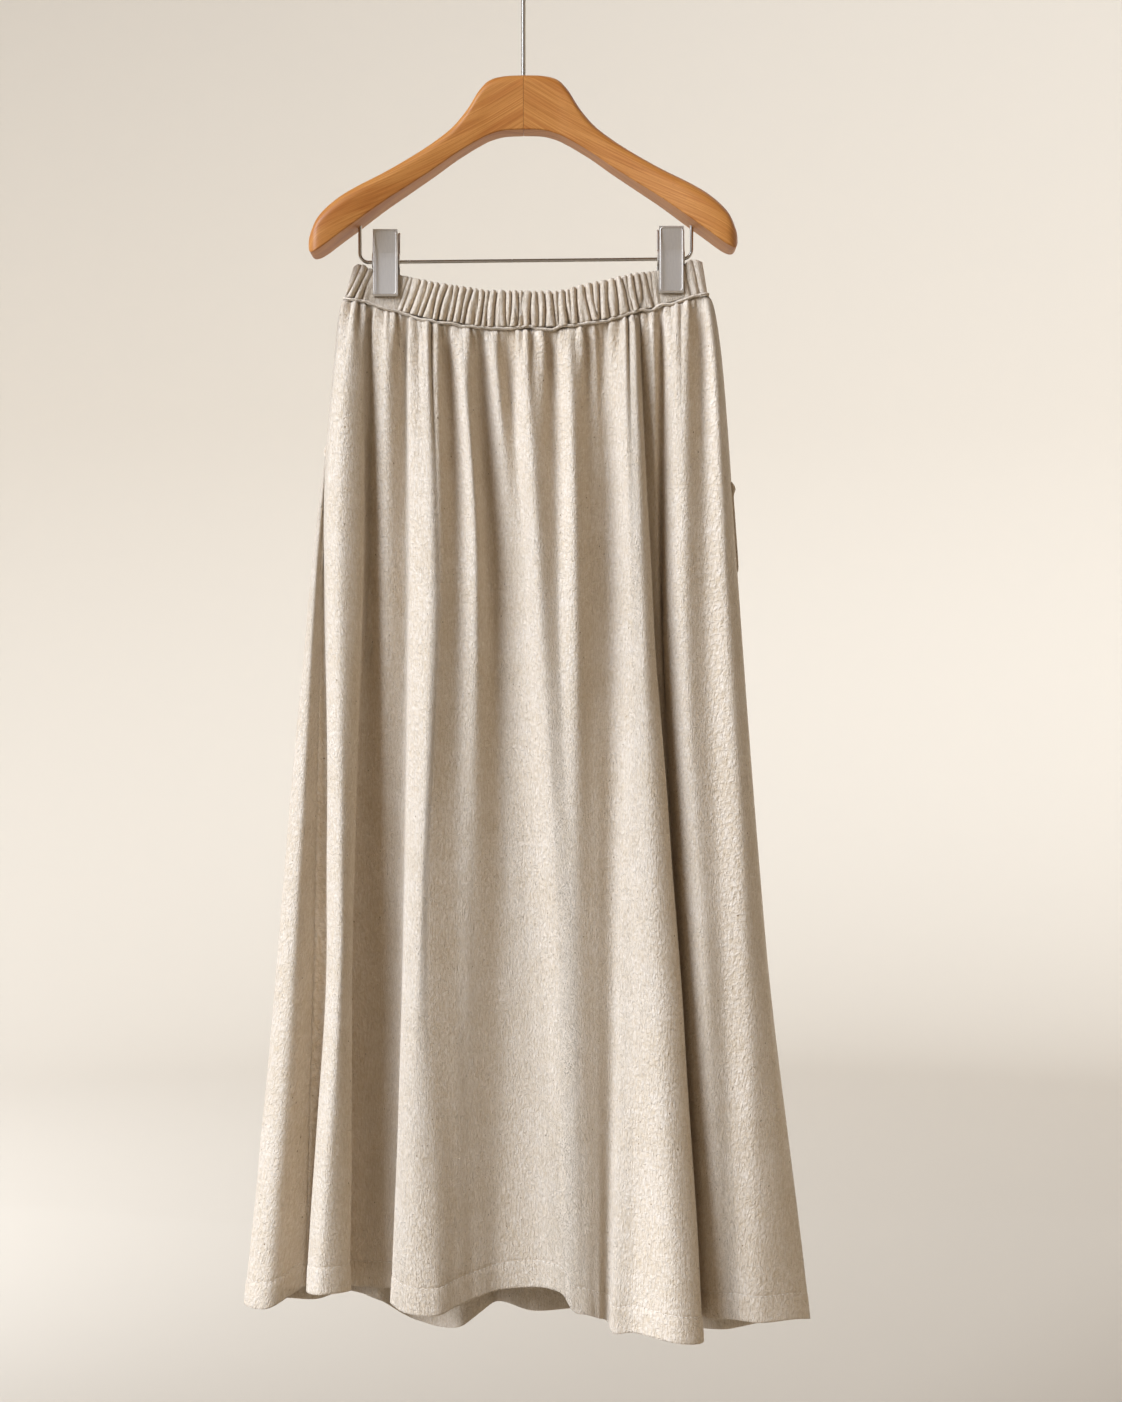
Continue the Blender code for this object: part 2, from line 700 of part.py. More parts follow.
def make_spring(name, centre):
    """The coiled spring's barrel, as a turned sleeve round the bar."""
    inner = BAR_RADIUS + TOUCH_GAP
    half = SPRING_HALF_LENGTH
    profile = ((-half, inner), (-half, SPRING_RADIUS), (half, SPRING_RADIUS), (half, inner))
    vertices = []
    faces = []
    for step in range(SPRING_STEPS):
        angle = 2 * math.pi * step / SPRING_STEPS
        vertices += [(x, r * math.cos(angle), r * math.sin(angle)) for x, r in profile]
        low = step * 4
        high = (step + 1) % SPRING_STEPS * 4
        faces += [(low + k, low + (k + 1) % 4, high + (k + 1) % 4, high + k) for k in range(4)]
    spring = add_part(name, mesh_from(name, vertices, faces), "steel")
    spring.location = centre
    shade(spring)


make_panel("skirt_front", FRONT_FOLDS, 1)
make_panel("skirt_back", BACK_FOLDS, -1)
make_waistband()
make_piping()
for pocket_side, pocket_inward in POCKET_SIDES.items():
    make_pocket(pocket_side, pocket_inward)
make_bores()
make_arms()
make_hook()
make_bar()
for clip_side, clip_place in CLIP_X.items():
    make_clip(clip_side, clip_place)
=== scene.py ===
# %% [markdown]
# # A gathered maxi skirt on a wooden clip hanger
# The skirt is two wide panels of soft linen-and-viscose cloth, gathered into an elastic
# waistband over a thin corded seam, with a pocket in each side seam and a machined hem.
# It hangs by the waistband from two steel clips on a contoured wooden hanger. The packed
# CAD model is loaded first, because every piece here takes its place from it.

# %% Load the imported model
import math

import bmesh
import bpy
import numpy as np
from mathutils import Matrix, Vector


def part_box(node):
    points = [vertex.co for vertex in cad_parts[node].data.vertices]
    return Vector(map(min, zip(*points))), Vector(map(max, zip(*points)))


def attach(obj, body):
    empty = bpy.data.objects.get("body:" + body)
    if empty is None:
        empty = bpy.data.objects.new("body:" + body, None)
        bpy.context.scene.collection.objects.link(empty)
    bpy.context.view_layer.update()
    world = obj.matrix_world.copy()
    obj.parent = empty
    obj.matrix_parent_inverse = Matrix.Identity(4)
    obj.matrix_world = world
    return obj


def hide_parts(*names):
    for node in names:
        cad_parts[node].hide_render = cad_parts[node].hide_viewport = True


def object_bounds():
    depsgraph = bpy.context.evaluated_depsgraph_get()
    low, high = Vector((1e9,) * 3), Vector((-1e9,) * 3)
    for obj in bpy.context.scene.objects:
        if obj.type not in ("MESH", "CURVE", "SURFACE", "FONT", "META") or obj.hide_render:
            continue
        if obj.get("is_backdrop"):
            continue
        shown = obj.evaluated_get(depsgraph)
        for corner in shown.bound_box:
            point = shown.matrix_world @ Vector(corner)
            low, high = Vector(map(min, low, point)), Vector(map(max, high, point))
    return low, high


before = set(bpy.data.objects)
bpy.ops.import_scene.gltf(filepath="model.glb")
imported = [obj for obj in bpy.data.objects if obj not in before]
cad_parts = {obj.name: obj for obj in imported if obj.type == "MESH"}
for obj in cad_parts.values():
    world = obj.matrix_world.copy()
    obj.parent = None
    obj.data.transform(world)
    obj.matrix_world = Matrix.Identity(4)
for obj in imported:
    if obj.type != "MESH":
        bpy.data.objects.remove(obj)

MM = 0.001
CAD_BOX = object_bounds()
print("CAD box in metres:", [tuple(round(v, 3) for v in corner) for corner in CAD_BOX])

# %% [markdown]
# ## The camera
# A long lens from about two metres keeps the sides of the skirt nearly parallel, which is
# how clothes are usually shown. It looks level at the middle of the hanging length, so the
# underside of the hanger just shows.

# %% Place the camera
LENS_LENGTH = 56.5  # millimetres, with a sensor 36 mm on its long side
CAMERA_SPOT = (0.0375, -2.2, -0.751)  # metres: just right of the hook, in front, halfway down
camera_data = bpy.data.cameras.new("catalogue_camera")
camera_data.lens = LENS_LENGTH
camera_data.sensor_width = 36.0
camera_data.clip_end = 40.0
camera = bpy.data.objects.new("catalogue_camera", camera_data)
camera.location = CAMERA_SPOT
camera.rotation_euler = (math.pi / 2, 0, 0)
bpy.context.scene.collection.objects.link(camera)
bpy.context.scene.camera = camera
print("camera", round(-camera.location.y, 2), "m in front of the middle plane")

# %% [markdown]
# ## Helpers for materials
# Colours are read off swatches as sRGB hex values, but Blender's sockets want linear
# light, so one function turns one into the other. A second small function adds any node
# with its settings and links, which keeps each material short enough to read. A Mix node
# has sockets for numbers, vectors and colours, so its colour sockets go by number.


# %% Colour and node helpers
MIX_SHARE, MIX_FIRST, MIX_SECOND = 0, 6, 7  # inputs of a Mix node that is set to colours
MIX_RESULT = 2


def linear(hex_colour):
    """An sRGB hex colour as linear RGB with alpha."""
    levels = [int(hex_colour[i : i + 2], 16) / 255 for i in (1, 3, 5)]
    return (*[c / 12.92 if c <= 0.04045 else ((c + 0.055) / 1.055) ** 2.4 for c in levels], 1.0)


def add_node(tree, kind, sockets=(), **settings):
    """Adds a node; each socket is given a value, or is linked if it is given another's output."""
    node = tree.nodes.new(kind)
    for name, value in settings.items():
        setattr(node, name, value)
    for key, value in dict(sockets).items():
        if isinstance(value, bpy.types.NodeSocket):
            tree.links.new(value, node.inputs[key])
        else:
            node.inputs[key].default_value = value
    return node


def new_material(name, **surface):
    """A Principled material with the given socket values, and its node tree and shader."""
    material = bpy.data.materials.new(name)
    material.use_nodes = True
    shader = material.node_tree.nodes["Principled BSDF"]
    for key, value in surface.items():
        shader.inputs[key.replace("_", " ")].default_value = value
    return material, material.node_tree, shader


print("white is", linear("#ffffff")[:3])

# %% [markdown]
# ## Linen and viscose cloth
# A plain weave of slubby linen warp and smooth viscose weft, washed so that it is soft.
# It could be flat colour with a weave image, but images aren't used here, so four noises
# do the work on real-size coordinates: long vertical slubs, a pebbly crepe from washing,
# thread-fine grain, and a few dark flecks of flax. The crepe's hollows are also painted
# darker in the colour, as painted shade. What the eye gets is a matt, warm, slightly uneven
# cloth whose slubs show best in half shade.

# %% The cloth material
SLUB_WIDTH = 1.1 * MM  # linen threads are about 0.4 mm; drawn coarser so that they show
SLUB_LENGTH = 13 * MM
CREPE_SIZE = 2.6 * MM  # pebbles left by washing, a little coarser than real ones
THREAD_PITCH = 0.8 * MM  # really about 0.5 mm; drawn coarser so that it shows
THREAD_RELIEF = 0.12 * MM
TONE_PATCHES = 22.0  # broad patches to a metre of cloth, from uneven dyeing and washing
FLECK_SPACING = 7.5 * MM
FLECK_RARITY = 0.68  # the share of places for a fleck that stay empty
FIBRE_IOR = 1.52


def make_cloth(name, pale_hex, dark_tone_and_shade_hex, fleck_hex, crepe_height):
    """Washed linen and viscose: matt, with slubs down the warp, sparse flax flecks, and painted shade
    in the crepe's hollows.
    """
    material, tree, shader = new_material(
        name, Roughness=0.92, IOR=FIBRE_IOR, Specular_IOR_Level=0.25, Sheen_Weight=0.12,
        Sheen_Roughness=0.45,
    )
    cloth_map = add_node(tree, "ShaderNodeUVMap", uv_map="cloth_metres").outputs["UV"]
    stretched = add_node(
        tree, "ShaderNodeMapping",
        {"Vector": cloth_map, "Scale": (1 / SLUB_WIDTH, 1 / SLUB_LENGTH, 1.0)},
    ).outputs["Vector"]
    slubs = add_node(
        tree, "ShaderNodeTexNoise",
        {"Vector": stretched, "Scale": 1.0, "Detail": 3.0, "Roughness": 0.6},
    ).outputs["Fac"]
    tone = add_node(
        tree, "ShaderNodeTexNoise",
        {"Vector": cloth_map, "Scale": TONE_PATCHES, "Detail": 3.0, "Roughness": 0.55},
    ).outputs["Fac"]
    crepe_vector = add_node(
        tree, "ShaderNodeMapping",
        {"Vector": cloth_map, "Scale": (1 / CREPE_SIZE, 0.62 / CREPE_SIZE, 1.0)},
    ).outputs["Vector"]
    crepe = add_node(
        tree, "ShaderNodeTexNoise",
        {"Vector": crepe_vector, "Scale": 1.0, "Detail": 4.0, "Roughness": 0.62, "Distortion": 0.5},
    ).outputs["Fac"]
    threads = add_node(
        tree, "ShaderNodeTexNoise", {"Vector": cloth_map, "Scale": 1 / THREAD_PITCH, "Detail": 1.0}
    ).outputs["Fac"]
    flecks = add_node(
        tree, "ShaderNodeTexVoronoi", {"Vector": crepe_vector, "Scale": CREPE_SIZE / FLECK_SPACING}
    )
    fleck_spots = add_node(
        tree, "ShaderNodeMapRange",
        {"Value": flecks.outputs["Distance"], "From Min": 0.04, "From Max": 0.10,
         "To Min": 1.0, "To Max": 0.0},
    ).outputs["Result"]
    fleck_chance = add_node(
        tree, "ShaderNodeSeparateColor", {"Color": flecks.outputs["Color"]}
    ).outputs["Red"]
    fleck_some = add_node(
        tree, "ShaderNodeMath", {0: fleck_chance, 1: FLECK_RARITY}, operation="GREATER_THAN"
    ).outputs[0]
    fleck_mask = add_node(
        tree, "ShaderNodeMath", {0: fleck_spots, 1: fleck_some}, operation="MULTIPLY"
    ).outputs[0]
    slub_shift = add_node(
        tree, "ShaderNodeMapRange",
        {"Value": slubs, "From Min": 0.38, "From Max": 0.72, "To Min": 0.0, "To Max": 0.65},
    ).outputs["Result"]
    tone_shift = add_node(
        tree, "ShaderNodeMapRange",
        {"Value": tone, "From Min": 0.35, "From Max": 0.7, "To Min": 0.0, "To Max": 0.24},
    ).outputs["Result"]
    # Painted shade: the crepe's hollows are mixed towards the darker colour, on top of their bump.
    crepe_hollow_painted_shade = add_node(
        tree, "ShaderNodeMapRange",
        {"Value": crepe, "From Min": 0.42, "From Max": 0.62, "To Min": 0.4, "To Max": 0.0},
    ).outputs["Result"]
    worn = add_node(
        tree, "ShaderNodeMath", {0: slub_shift, 1: tone_shift}, operation="ADD"
    ).outputs[0]
    shift = add_node(
        tree, "ShaderNodeMath", {0: worn, 1: crepe_hollow_painted_shade}, operation="ADD", use_clamp=True
    ).outputs[0]
    tone_with_painted_shade = add_node(
        tree, "ShaderNodeMix",
        {MIX_SHARE: shift, MIX_FIRST: linear(pale_hex), MIX_SECOND: linear(dark_tone_and_shade_hex)},
        data_type="RGBA",
    ).outputs[MIX_RESULT]
    flecked = add_node(
        tree, "ShaderNodeMix",
        {MIX_SHARE: fleck_mask, MIX_FIRST: tone_with_painted_shade, MIX_SECOND: linear(fleck_hex)},
        data_type="RGBA",
    ).outputs[MIX_RESULT]
    tree.links.new(flecked, shader.inputs["Base Color"])
    crepe_bump = add_node(
        tree, "ShaderNodeBump", {"Height": crepe, "Distance": crepe_height, "Strength": 1.0}
    ).outputs["Normal"]
    slub_bump = add_node(
        tree, "ShaderNodeBump",
        {"Height": slubs, "Distance": 0.35 * crepe_height, "Strength": 1.0, "Normal": crepe_bump},
    ).outputs["Normal"]
    thread_bump = add_node(
        tree, "ShaderNodeBump",
        {"Height": threads, "Distance": THREAD_RELIEF, "Strength": 1.0, "Normal": slub_bump},
    ).outputs["Normal"]
    tree.links.new(thread_bump, shader.inputs["Normal"])
    return material


linen = make_cloth("washed_linen_viscose", "#ecddc9", "#d3bea0", "#80613c", 3.0 * MM)
print("cloth:", len(linen.node_tree.nodes), "nodes")

# %% [markdown]
# ## How a hanging panel is described
# A gathered panel falls in folds: each one starts as a tuck at the waist and opens as it
# nears the hem. Cloth simulation would give folds, but not these folds, so the panel is
# lofted from a short table instead. Each row is the run of one fold's edge: where it is
# across the skirt at the waist, hip, knee and hem, and how far it stands out at the yoke
# just under the seam, the hip, the knee and the hem. The last column lowers the hem there.
# Two smooth curves join the numbers, one down the skirt and one across it.

# %% Sizes of the hanging cloth
MID = 2.5 * MM  # the skirt's middle, to the right of the hook
WAIST_HALF = 181 * MM
PANEL_TOP = -350 * MM
HEM_LEVEL = -1345 * MM
BACK_DROP = 45 * MM
SEAM_HALF_GAP = 1.0 * MM
CLOTH_WALL = 0.9 * MM
HEM_WALL = 1.7 * MM
HEM_TURN = 26 * MM
STATION_DOWN = (0.0, 0.045, 0.28, 0.63, 1.0)  # waist, yoke, hip, knee and hem, as shares

# Places and depths of the folds, in millimetres
FRONT_FOLDS = (
    # name         across: waist  hip  knee  hem  out: yoke  hip  knee  hem  drop
    ("seam_left",       -182, -204, -212, -221,       0,   0,  -3,  -7,    -8),
    ("gap_floor",        -181, -203, -199, -218,       3,  -2, -14, -16,    -9),
    ("tube_edge",        -179, -197, -195, -214,      10,  21,  29,  34,   -12),
    ("tube_crest",       -172, -182, -180, -200,      19,  36,  47,  54,   -15),
    ("tube_back_edge",  -163, -163, -171, -175,      13,  24,  31,  36,   -14),
    ("recess_wall",      -158, -162, -176, -183,       6,   2,  -8, -10,    -8),
    ("recess_floor",     -153, -157, -162, -165,       2,  -6, -13, -13,    -5),
    ("recess_ridge",     -138, -138, -141, -148,      15,   8,  -7, -10,    -5),
    ("recess_dip",       -120, -119, -125, -128,       1,   2,   2,  -2,    -5),
    ("broad_edge",      -116, -113, -117, -131,      14,  24,  42,  50,    -5),
    ("broad_crest",     -100,  -92, -102, -117,      22,  45,  60,  64,     0),
    ("broad_shoulder",   -92,  -84,  -95,  -86,      21,  44,  58,  64,     3),
    ("broad_flank",       -78,  -67,  -68,  -68,       2,  26,  42,  50,    -2),
    ("slim_ridge",        -63,  -48,  -51,  -49,      20,  37,  36,  35,    -6),
    ("slim_valley",       -45,  -32,  -23,  -27,      -2,   8,  19,  22,   -11),
    ("centre_shoulder",   -32,  -12,   -2,   13,      17,  15,  20,  22,   -14),
    ("centre_dip",        -20,    0,   12,   27,       3,  24,  26,  28,   -13),
    ("centre_crest",        0,   14,   32,   38,      21,  41,  38,  33,    -9),
    ("centre_crease",      26,   32,   43,   48,       3,  33,  43,  38,     6),
    ("centre_edge",        44,   49,   51,   60,      21,  45,  44,  38,     9),
    ("centre_fall",        60,   66,   69,   72,       6,  26,  36,  33,    14),
    ("centre_valley",      77,   83,   85,   80,       0,  15,  29,  27,    18),
    ("hem_flip",          87,   93,   95,   86,       9,  24,  36,  39,    27),
    ("apron_rise",        98,  104,  106,  105,      20,  36,  46,  44,    25),
    ("apron_crest",      105,  114,  128,  150,      20,  43,  59,  68,    29),
    ("apron_edge",       109,  123,  149,  174,      15,  34,  46,  52,    32),
    ("dark_wall",        112,  125,  146,  167,       3,   6,   6,   6,    24),
    ("dark_ridge",       127,  131,  149,  171,      12,   5,   1,   0,    22),
    ("dark_floor",        135,  136,  152,  176,      -2,  -6,   1,   0,    20),
    ("side_edge",         143,  143,  160,  184,      13,  17,  23,  14,    20),
    ("side_ridge",        156,  156,  174,  199,      19,  32,  38,  22,    18),
    ("side_valley",       173,  178,  194,  212,       1,  22,  32,  26,    18),
    ("side_crest",        178,  198,  218,  230,      13,  26,  32,  28,    20),
    ("side_flank",       181,  209,  235,  266,       6,  13,  14,   8,    22),
    ("seam_right",       182,  212,  240,  285,      -1,  -2,  -6, -12,    27),
)
BACK_FOLDS = (
    ("seam_right",        182,  212,  240,  285,      -1,  -2,  -6, -12,   -18),
    ("right_turn",        178,  206,  234,  279,      -9, -14, -22, -32,   -14),
    ("ridge_1",           165,  186,  206,  238,     -21, -38, -56, -70,     2),
    ("valley_1",          142,  154,  170,  198,      -8, -14, -20, -24,    -4),
    ("ridge_2",           110,  116,  128,  152,     -19, -38, -58, -76,     6),
    ("valley_2",           86,   86,   92,  102,     -10, -18, -30, -42,    -2),
    ("ridge_3",            56,   52,   56,   66,     -22, -46, -68, -84,    -8),
    ("valley_3",           24,   14,   10,    6,      -8, -14, -22, -28,   -22),
    ("ridge_4",            -2,  -12,  -22,  -34,     -18, -34, -54, -72,   -19),
    ("valley_4",          -36,  -46,  -56,  -68,      -9, -20, -32, -40,    -2),
    ("ridge_5",           -66,  -84, -102, -122,     -21, -44, -66, -84,     0),
    ("valley_5",          -98, -114, -130, -148,      -8, -14, -18, -22,   -34),
    ("ridge_6",          -128, -146, -166, -188,     -20, -36, -54, -68,   -32),
    ("valley_6",         -148, -171, -190, -212,      -8, -17, -24, -26,   -34),
    ("wing_back",        -157, -196, -224, -252,     -14, -25, -36, -46,   -30),
    ("wing_crest",       -166, -216, -247, -280,      -8,  -8,  -3,   2,   -37),
    ("wing_front",       -173, -210, -229, -256,      -2,   6,  17,  24,   -38),
    ("seam_left",        -182, -204, -212, -221,       0,   0,  -3,  -7,   -53),
)
print(len(FRONT_FOLDS), "fold lines in front and", len(BACK_FOLDS), "behind")

# %% [markdown]
# ## The gathers under the waist seam
# Sewing a wide panel to a short band packs it into small ridges that are sharp at the
# stitches and melt into the big folds below. Each has its own place, length, height and
# width, because even ridges would look pleated by a machine rather than gathered by hand.
# The needle also leaves a row of fine tucks at the seam. They are alike enough for a
# formula, and so are the ridges of the plainer back.

# %% Gathers, in millimetres
FRONT_GATHERS = (
    # place  length height width  drift; a negative height is a tuck
    (-178,  200,  1.8,  2.6,   0),
    (-175,   80, -4.5,  2.0,   0),
    (-170,  100,  2.6,  2.2,   0),
    (-161,  110,  2.4,  2.2,   0),
    (-150,  150,  3.6,  2.6,   0),
    (-143,   90, -2.2,  2.2,   0),
    (-131,   60,  2.2,  2.2,   1),
    (-115,  330,  3.4,  2.4,   2),
    (-108,  260, -3.8,  2.2,   3),
    (-98,   380,  2.8,  2.6,   3),
    (-94,   320, -4.2,  1.6,   0),
    (-90,   300,  2.8,  2.0,   0),
    (-73,    80,  2.4,  2.4,   0),
    (-58,    90,  2.6,  2.4,   0),
    (-51,    60,  2.4,  2.2,   0),
    (-40,    60,  2.2,  2.2,   0),
    (-30,    90,  2.4,  2.4,   1),
    (-13,    70, -2.4,  2.2,   0),
    (-9,    120,  2.6,  2.2,   0),
    (5,     120, -4.6,  3.2,   0),
    (15,    170,  5.0,  3.2,  -4),
    (33,     70,  2.6,  2.4,   1),
    (49,     60, -2.4,  2.2,   1),
    (54,    120,  2.6,  2.4,   1),
    (60,    140, -3.0,  2.8,   0),
    (68,    240,  4.4,  2.8,   0),
    (85,    120,  3.6,  2.6,   1),
    (91,     90, -2.2,  2.0,   0),
    (102,   340, -5.4,  1.6,   0),
    (106,   300,  2.8,  1.8,   0),
    (117,   120,  2.4,  2.4,   1),
    (121,   100, -2.4,  2.0,   0),
    (140,    80,  2.2,  2.2,   0),
    (149,   260,  2.4,  2.6,   0),
    (153,   160, -2.4,  2.0,   0),
    (160,   200,  2.6,  2.4,   1),
    (168,   120,  2.0,  2.0,   1),
)
FINE_GATHER_COUNT = 48
FINE_GATHER_PITCH = 7.3
FINE_GATHER_LENGTHS = (26, 60, 18, 40, 80, 30, 50)
fine_gathers = [
    (
        -172 + FINE_GATHER_PITCH * k + 2.2 * math.sin(3.7 * k),
        FINE_GATHER_LENGTHS[k * 3 % 7],
        -2.6 - 0.9 * math.sin(2.3 * k),
        1.7 + 0.3 * math.cos(1.9 * k),
        0,
    )
    for k in range(FINE_GATHER_COUNT)
]
BACK_GATHER_COUNT = 34
BACK_GATHER_PITCH = 10.5
BACK_GATHER_LENGTHS = (90, 240, 140, 420, 70, 300, 110, 180)
back_gathers = [
    (
        -176 + BACK_GATHER_PITCH * k + 2.6 * math.sin(2.4 * k),
        BACK_GATHER_LENGTHS[k * 5 % 8],
        2.5 + 0.6 * math.sin(1.7 * k),
        3.0 + 0.5 * math.cos(2.9 * k),
        1.5 * math.sin(k),
    )
    for k in range(BACK_GATHER_COUNT)
]
print(len(FRONT_GATHERS), "gathers in front,", len(back_gathers), "behind,", len(fine_gathers), "tucks")

# %% [markdown]
# ## Curves that the cloth follows
# Down the skirt a fold must never overshoot its table values, or the silhouette bulges, so
# a monotone cubic joins the five stations. Across the skirt a centripetal Catmull-Rom curve
# keeps the folds round without loops, even where one fold overhangs the next.


# %% Interpolation helpers
def eased(values, down):
    """Values given at the five stations, at any share of the way down; rows are fold lines."""
    places = np.sqrt(np.array(STATION_DOWN))
    at = math.sqrt(min(max(down, 0.0), 1.0))
    values = np.asarray(values, dtype=float)
    widths = np.diff(places)
    steps = np.diff(values, axis=1) / widths
    slopes = np.zeros_like(values)
    slopes[:, 0] = steps[:, 0]
    slopes[:, -1] = steps[:, -1]
    before, after = steps[:, :-1], steps[:, 1:]
    total = np.where(np.abs(before + after) < 1e-9, 1.0, before + after)
    slopes[:, 1:-1] = np.where(before * after > 0, 2 * before * after / total, 0.0)
    k = min(int(np.searchsorted(places, at, side="right")) - 1, len(widths) - 1)
    t = (at - places[k]) / widths[k]
    return (
        values[:, k] * (1 + 2 * t) * (1 - t) ** 2
        + slopes[:, k] * widths[k] * t * (1 - t) ** 2
        + values[:, k + 1] * t**2 * (3 - 2 * t)
        + slopes[:, k + 1] * widths[k] * t**2 * (t - 1)
    )


def curve_across(knots, places):
    """Points of a smooth curve through the knots, at places counted in knots from 0."""
    ends = np.vstack([2 * knots[0] - knots[1], knots, 2 * knots[-1] - knots[-2]])
    spans = np.maximum(np.linalg.norm(np.diff(ends, axis=0)[:, :2], axis=1), 1e-6) ** 0.5
    steps = np.diff(ends, axis=0) / spans[:, None]
    wide = (ends[2:] - ends[:-2]) / (spans[:-1] + spans[1:])[:, None]
    tangents = steps[:-1] - wide + steps[1:]
    k = np.minimum(places.astype(int), len(knots) - 2)
    t = (places - k)[:, None]
    width = spans[k + 1][:, None]
    return (
        knots[k] * (1 + 2 * t) * (1 - t) ** 2
        + tangents[k] * width * t * (1 - t) ** 2
        + knots[k + 1] * t * t * (3 - 2 * t)
        + tangents[k + 1] * width * t * t * (t - 1)
    )


def soft_noise(u, v, cell_u, cell_v, seed):
    """Smooth random waves from -1 to 1 over a sheet, with one value in each cell."""
    dice = np.random.default_rng(seed)
    size = 96  # cells each way before the pattern repeats
    grid = dice.uniform(-1, 1, (size, size))
    a, b = u / cell_u + 31.7, v / cell_v + 17.3
    i, j = np.floor(a).astype(int), np.floor(b).astype(int)
    s, t = a - i, b - j
    s, t = s * s * (3 - 2 * s), t * t * (3 - 2 * t)
    i, j, next_i, next_j = i % size, j % size, (i + 1) % size, (j + 1) % size
    low = grid[i, j] * (1 - s) + grid[next_i, j] * s
    high = grid[i, next_j] * (1 - s) + grid[next_i, next_j] * s
    return low * (1 - t) + high * t


print("stations down the panel:", STATION_DOWN)

# %% [markdown]
# ## The waist line
# Two clips lift the ends of the band and the middle sags between them. The table gives the
# height of the band's top edge and of the waist seam. Where a clip's jaws close, the band is
# pressed flat, and elsewhere its two layers stand a little apart.

# %% Waist line and pinches
WAIST_LINE = np.array((
    # across  top    seam
    (-183, -319, -349),
    (-174, -316, -350),
    (-162, -321, -353),
    (-140, -324, -360),
    (-90, -337, -373),
    (-40, -344, -380),
    (30, -345, -380),
    (75, -335, -373),
    (123, -324, -361),
    (145, -319, -354),
    (160, -317, -350),
    (170, -311, -347),
    (185, -314, -345),
)) * MM
CLIP_NAMES = ("left", "right")
clip_x = {
    side: sum(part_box(f"clip_{side}_front")[end][0] for end in (0, 1)) / 2 for side in CLIP_NAMES
}
WAIST_DEPTH = 9.5 * MM
SEAM_PINCHED_DEPTH = 4.2 * MM
PINCH_FLAT = 16 * MM
PINCH_REACH = 20 * MM
JAW_HALF = 10 * MM
JAW_FADE = 3 * MM


def waist_heights(across):
    """Heights of the band's top edge and of the waist seam."""
    places = WAIST_LINE[:, 0]
    at = np.clip(across, places[0], places[-1])
    k = np.clip(np.searchsorted(places, at) - 1, 0, len(places) - 2)
    t = (at - places[k]) / (places[k + 1] - places[k])
    t = 0.65 * t + 0.35 * t * t * (3 - 2 * t)
    found = WAIST_LINE[k, 1:] + (WAIST_LINE[k + 1, 1:] - WAIST_LINE[k, 1:]) * t[..., None]
    return found[..., 0], found[..., 1]


def clip_distance(across):
    """How far a place across the skirt is from the nearer clip."""
    return np.min([np.abs(across + MID - place) for place in clip_x.values()], axis=0)


def pinch(across):
    """1 under a clip, falling slowly to 0 as the waist opens away from it."""
    outside = np.maximum(clip_distance(across) - PINCH_FLAT, 0.0)
    return np.exp(-((outside / PINCH_REACH) ** 2))


def waist_depth(across, pinched_depth):
    """How far the flattened waist stands from its middle plane, closing at its folded ends."""
    open_depth = WAIST_DEPTH + (pinched_depth - WAIST_DEPTH) * pinch(across)
    end = np.maximum(1.0 - (np.abs(across) / WAIST_HALF) ** 12, 0.0)
    return open_depth * np.sqrt(end)


def jaw_grip(across):
    """1 between a clip's jaws and 0 a few millimetres beyond them."""
    outside = np.maximum(clip_distance(across) - JAW_HALF, 0.0)
    return np.exp(-((outside / JAW_FADE) ** 2))


print("clips at", {side: round(x / MM) for side, x in clip_x.items()}, "mm")

# %% [markdown]
# ## Turning a grid of points into cloth
# Every cloth piece is a grid of points, so one function makes them all. It gives the mesh a
# map in real metres of cloth for the weave to follow, and a wall by Solidify, which can be
# thicker where a vertex group says that the cloth is turned up double.


# %% Grid to cloth
def add_piece(name, points, faces, material):
    """A smooth mesh object in the scene."""
    mesh = bpy.data.meshes.new(name)
    mesh.from_pydata([tuple(point) for point in points], [], faces)
    mesh.shade_smooth()
    mesh.materials.append(material)
    piece = bpy.data.objects.new(name, mesh)
    bpy.context.scene.collection.objects.link(piece)
    return piece


def cloth_from_grid(name, points, metres, material, wall, ring=False, thick=None):
    """A shell over a grid: points and metres are rows x columns; a ring closes each row."""
    rows, columns = points.shape[:2]
    low = np.arange((rows - 1) * columns).reshape(rows - 1, columns)
    low = low if ring else low[:, :-1]
    column = np.arange(columns if ring else columns - 1)
    beside = low - column + (column + 1) % columns
    quads = np.stack([low, low + columns, beside + columns, beside], axis=-1).reshape(-1, 4)
    piece = add_piece(name, points.reshape(-1, 3).tolist(), quads.tolist(), material)
    corner_map = metres.reshape(-1, 2)[quads.reshape(-1)]
    if ring:
        wraps = (quads[:, 3] % columns == 0)[:, None] & (np.arange(4) >= 2)
        corner_map[wraps.reshape(-1), 0] += metres[0, -1, 0] + metres[0, 1, 0]
    layer = piece.data.uv_layers.new(name="cloth_metres")
    layer.data.foreach_set("uv", corner_map.reshape(-1))
    shell = piece.modifiers.new("cloth_wall", "SOLIDIFY")
    shell.thickness = wall
    shell.offset = 0.0
    if thick is not None:
        group = piece.vertex_groups.new(name="double_cloth")
        shares = thick.reshape(-1).round(2)
        for share in np.unique(shares):
            group.add(np.flatnonzero(shares == share).tolist(), float(share), "REPLACE")
        shell.vertex_group = group.name
    return piece


print("cloth wall", CLOTH_WALL / MM, "mm, hem", HEM_WALL / MM, "mm")

# %% [markdown]
# ## Laying out a panel
# The grid's columns are spread by length of cloth, half by the waist and half by the hem, so
# that both the fine gathers and the broad folds get enough of them. Its rows crowd towards
# the waist, and again at the hem, so that the stitched groove there has a shape. Gathers then
# push the cloth out along its own normal, and slow seeded waves take off the evenness that a
# formula leaves.

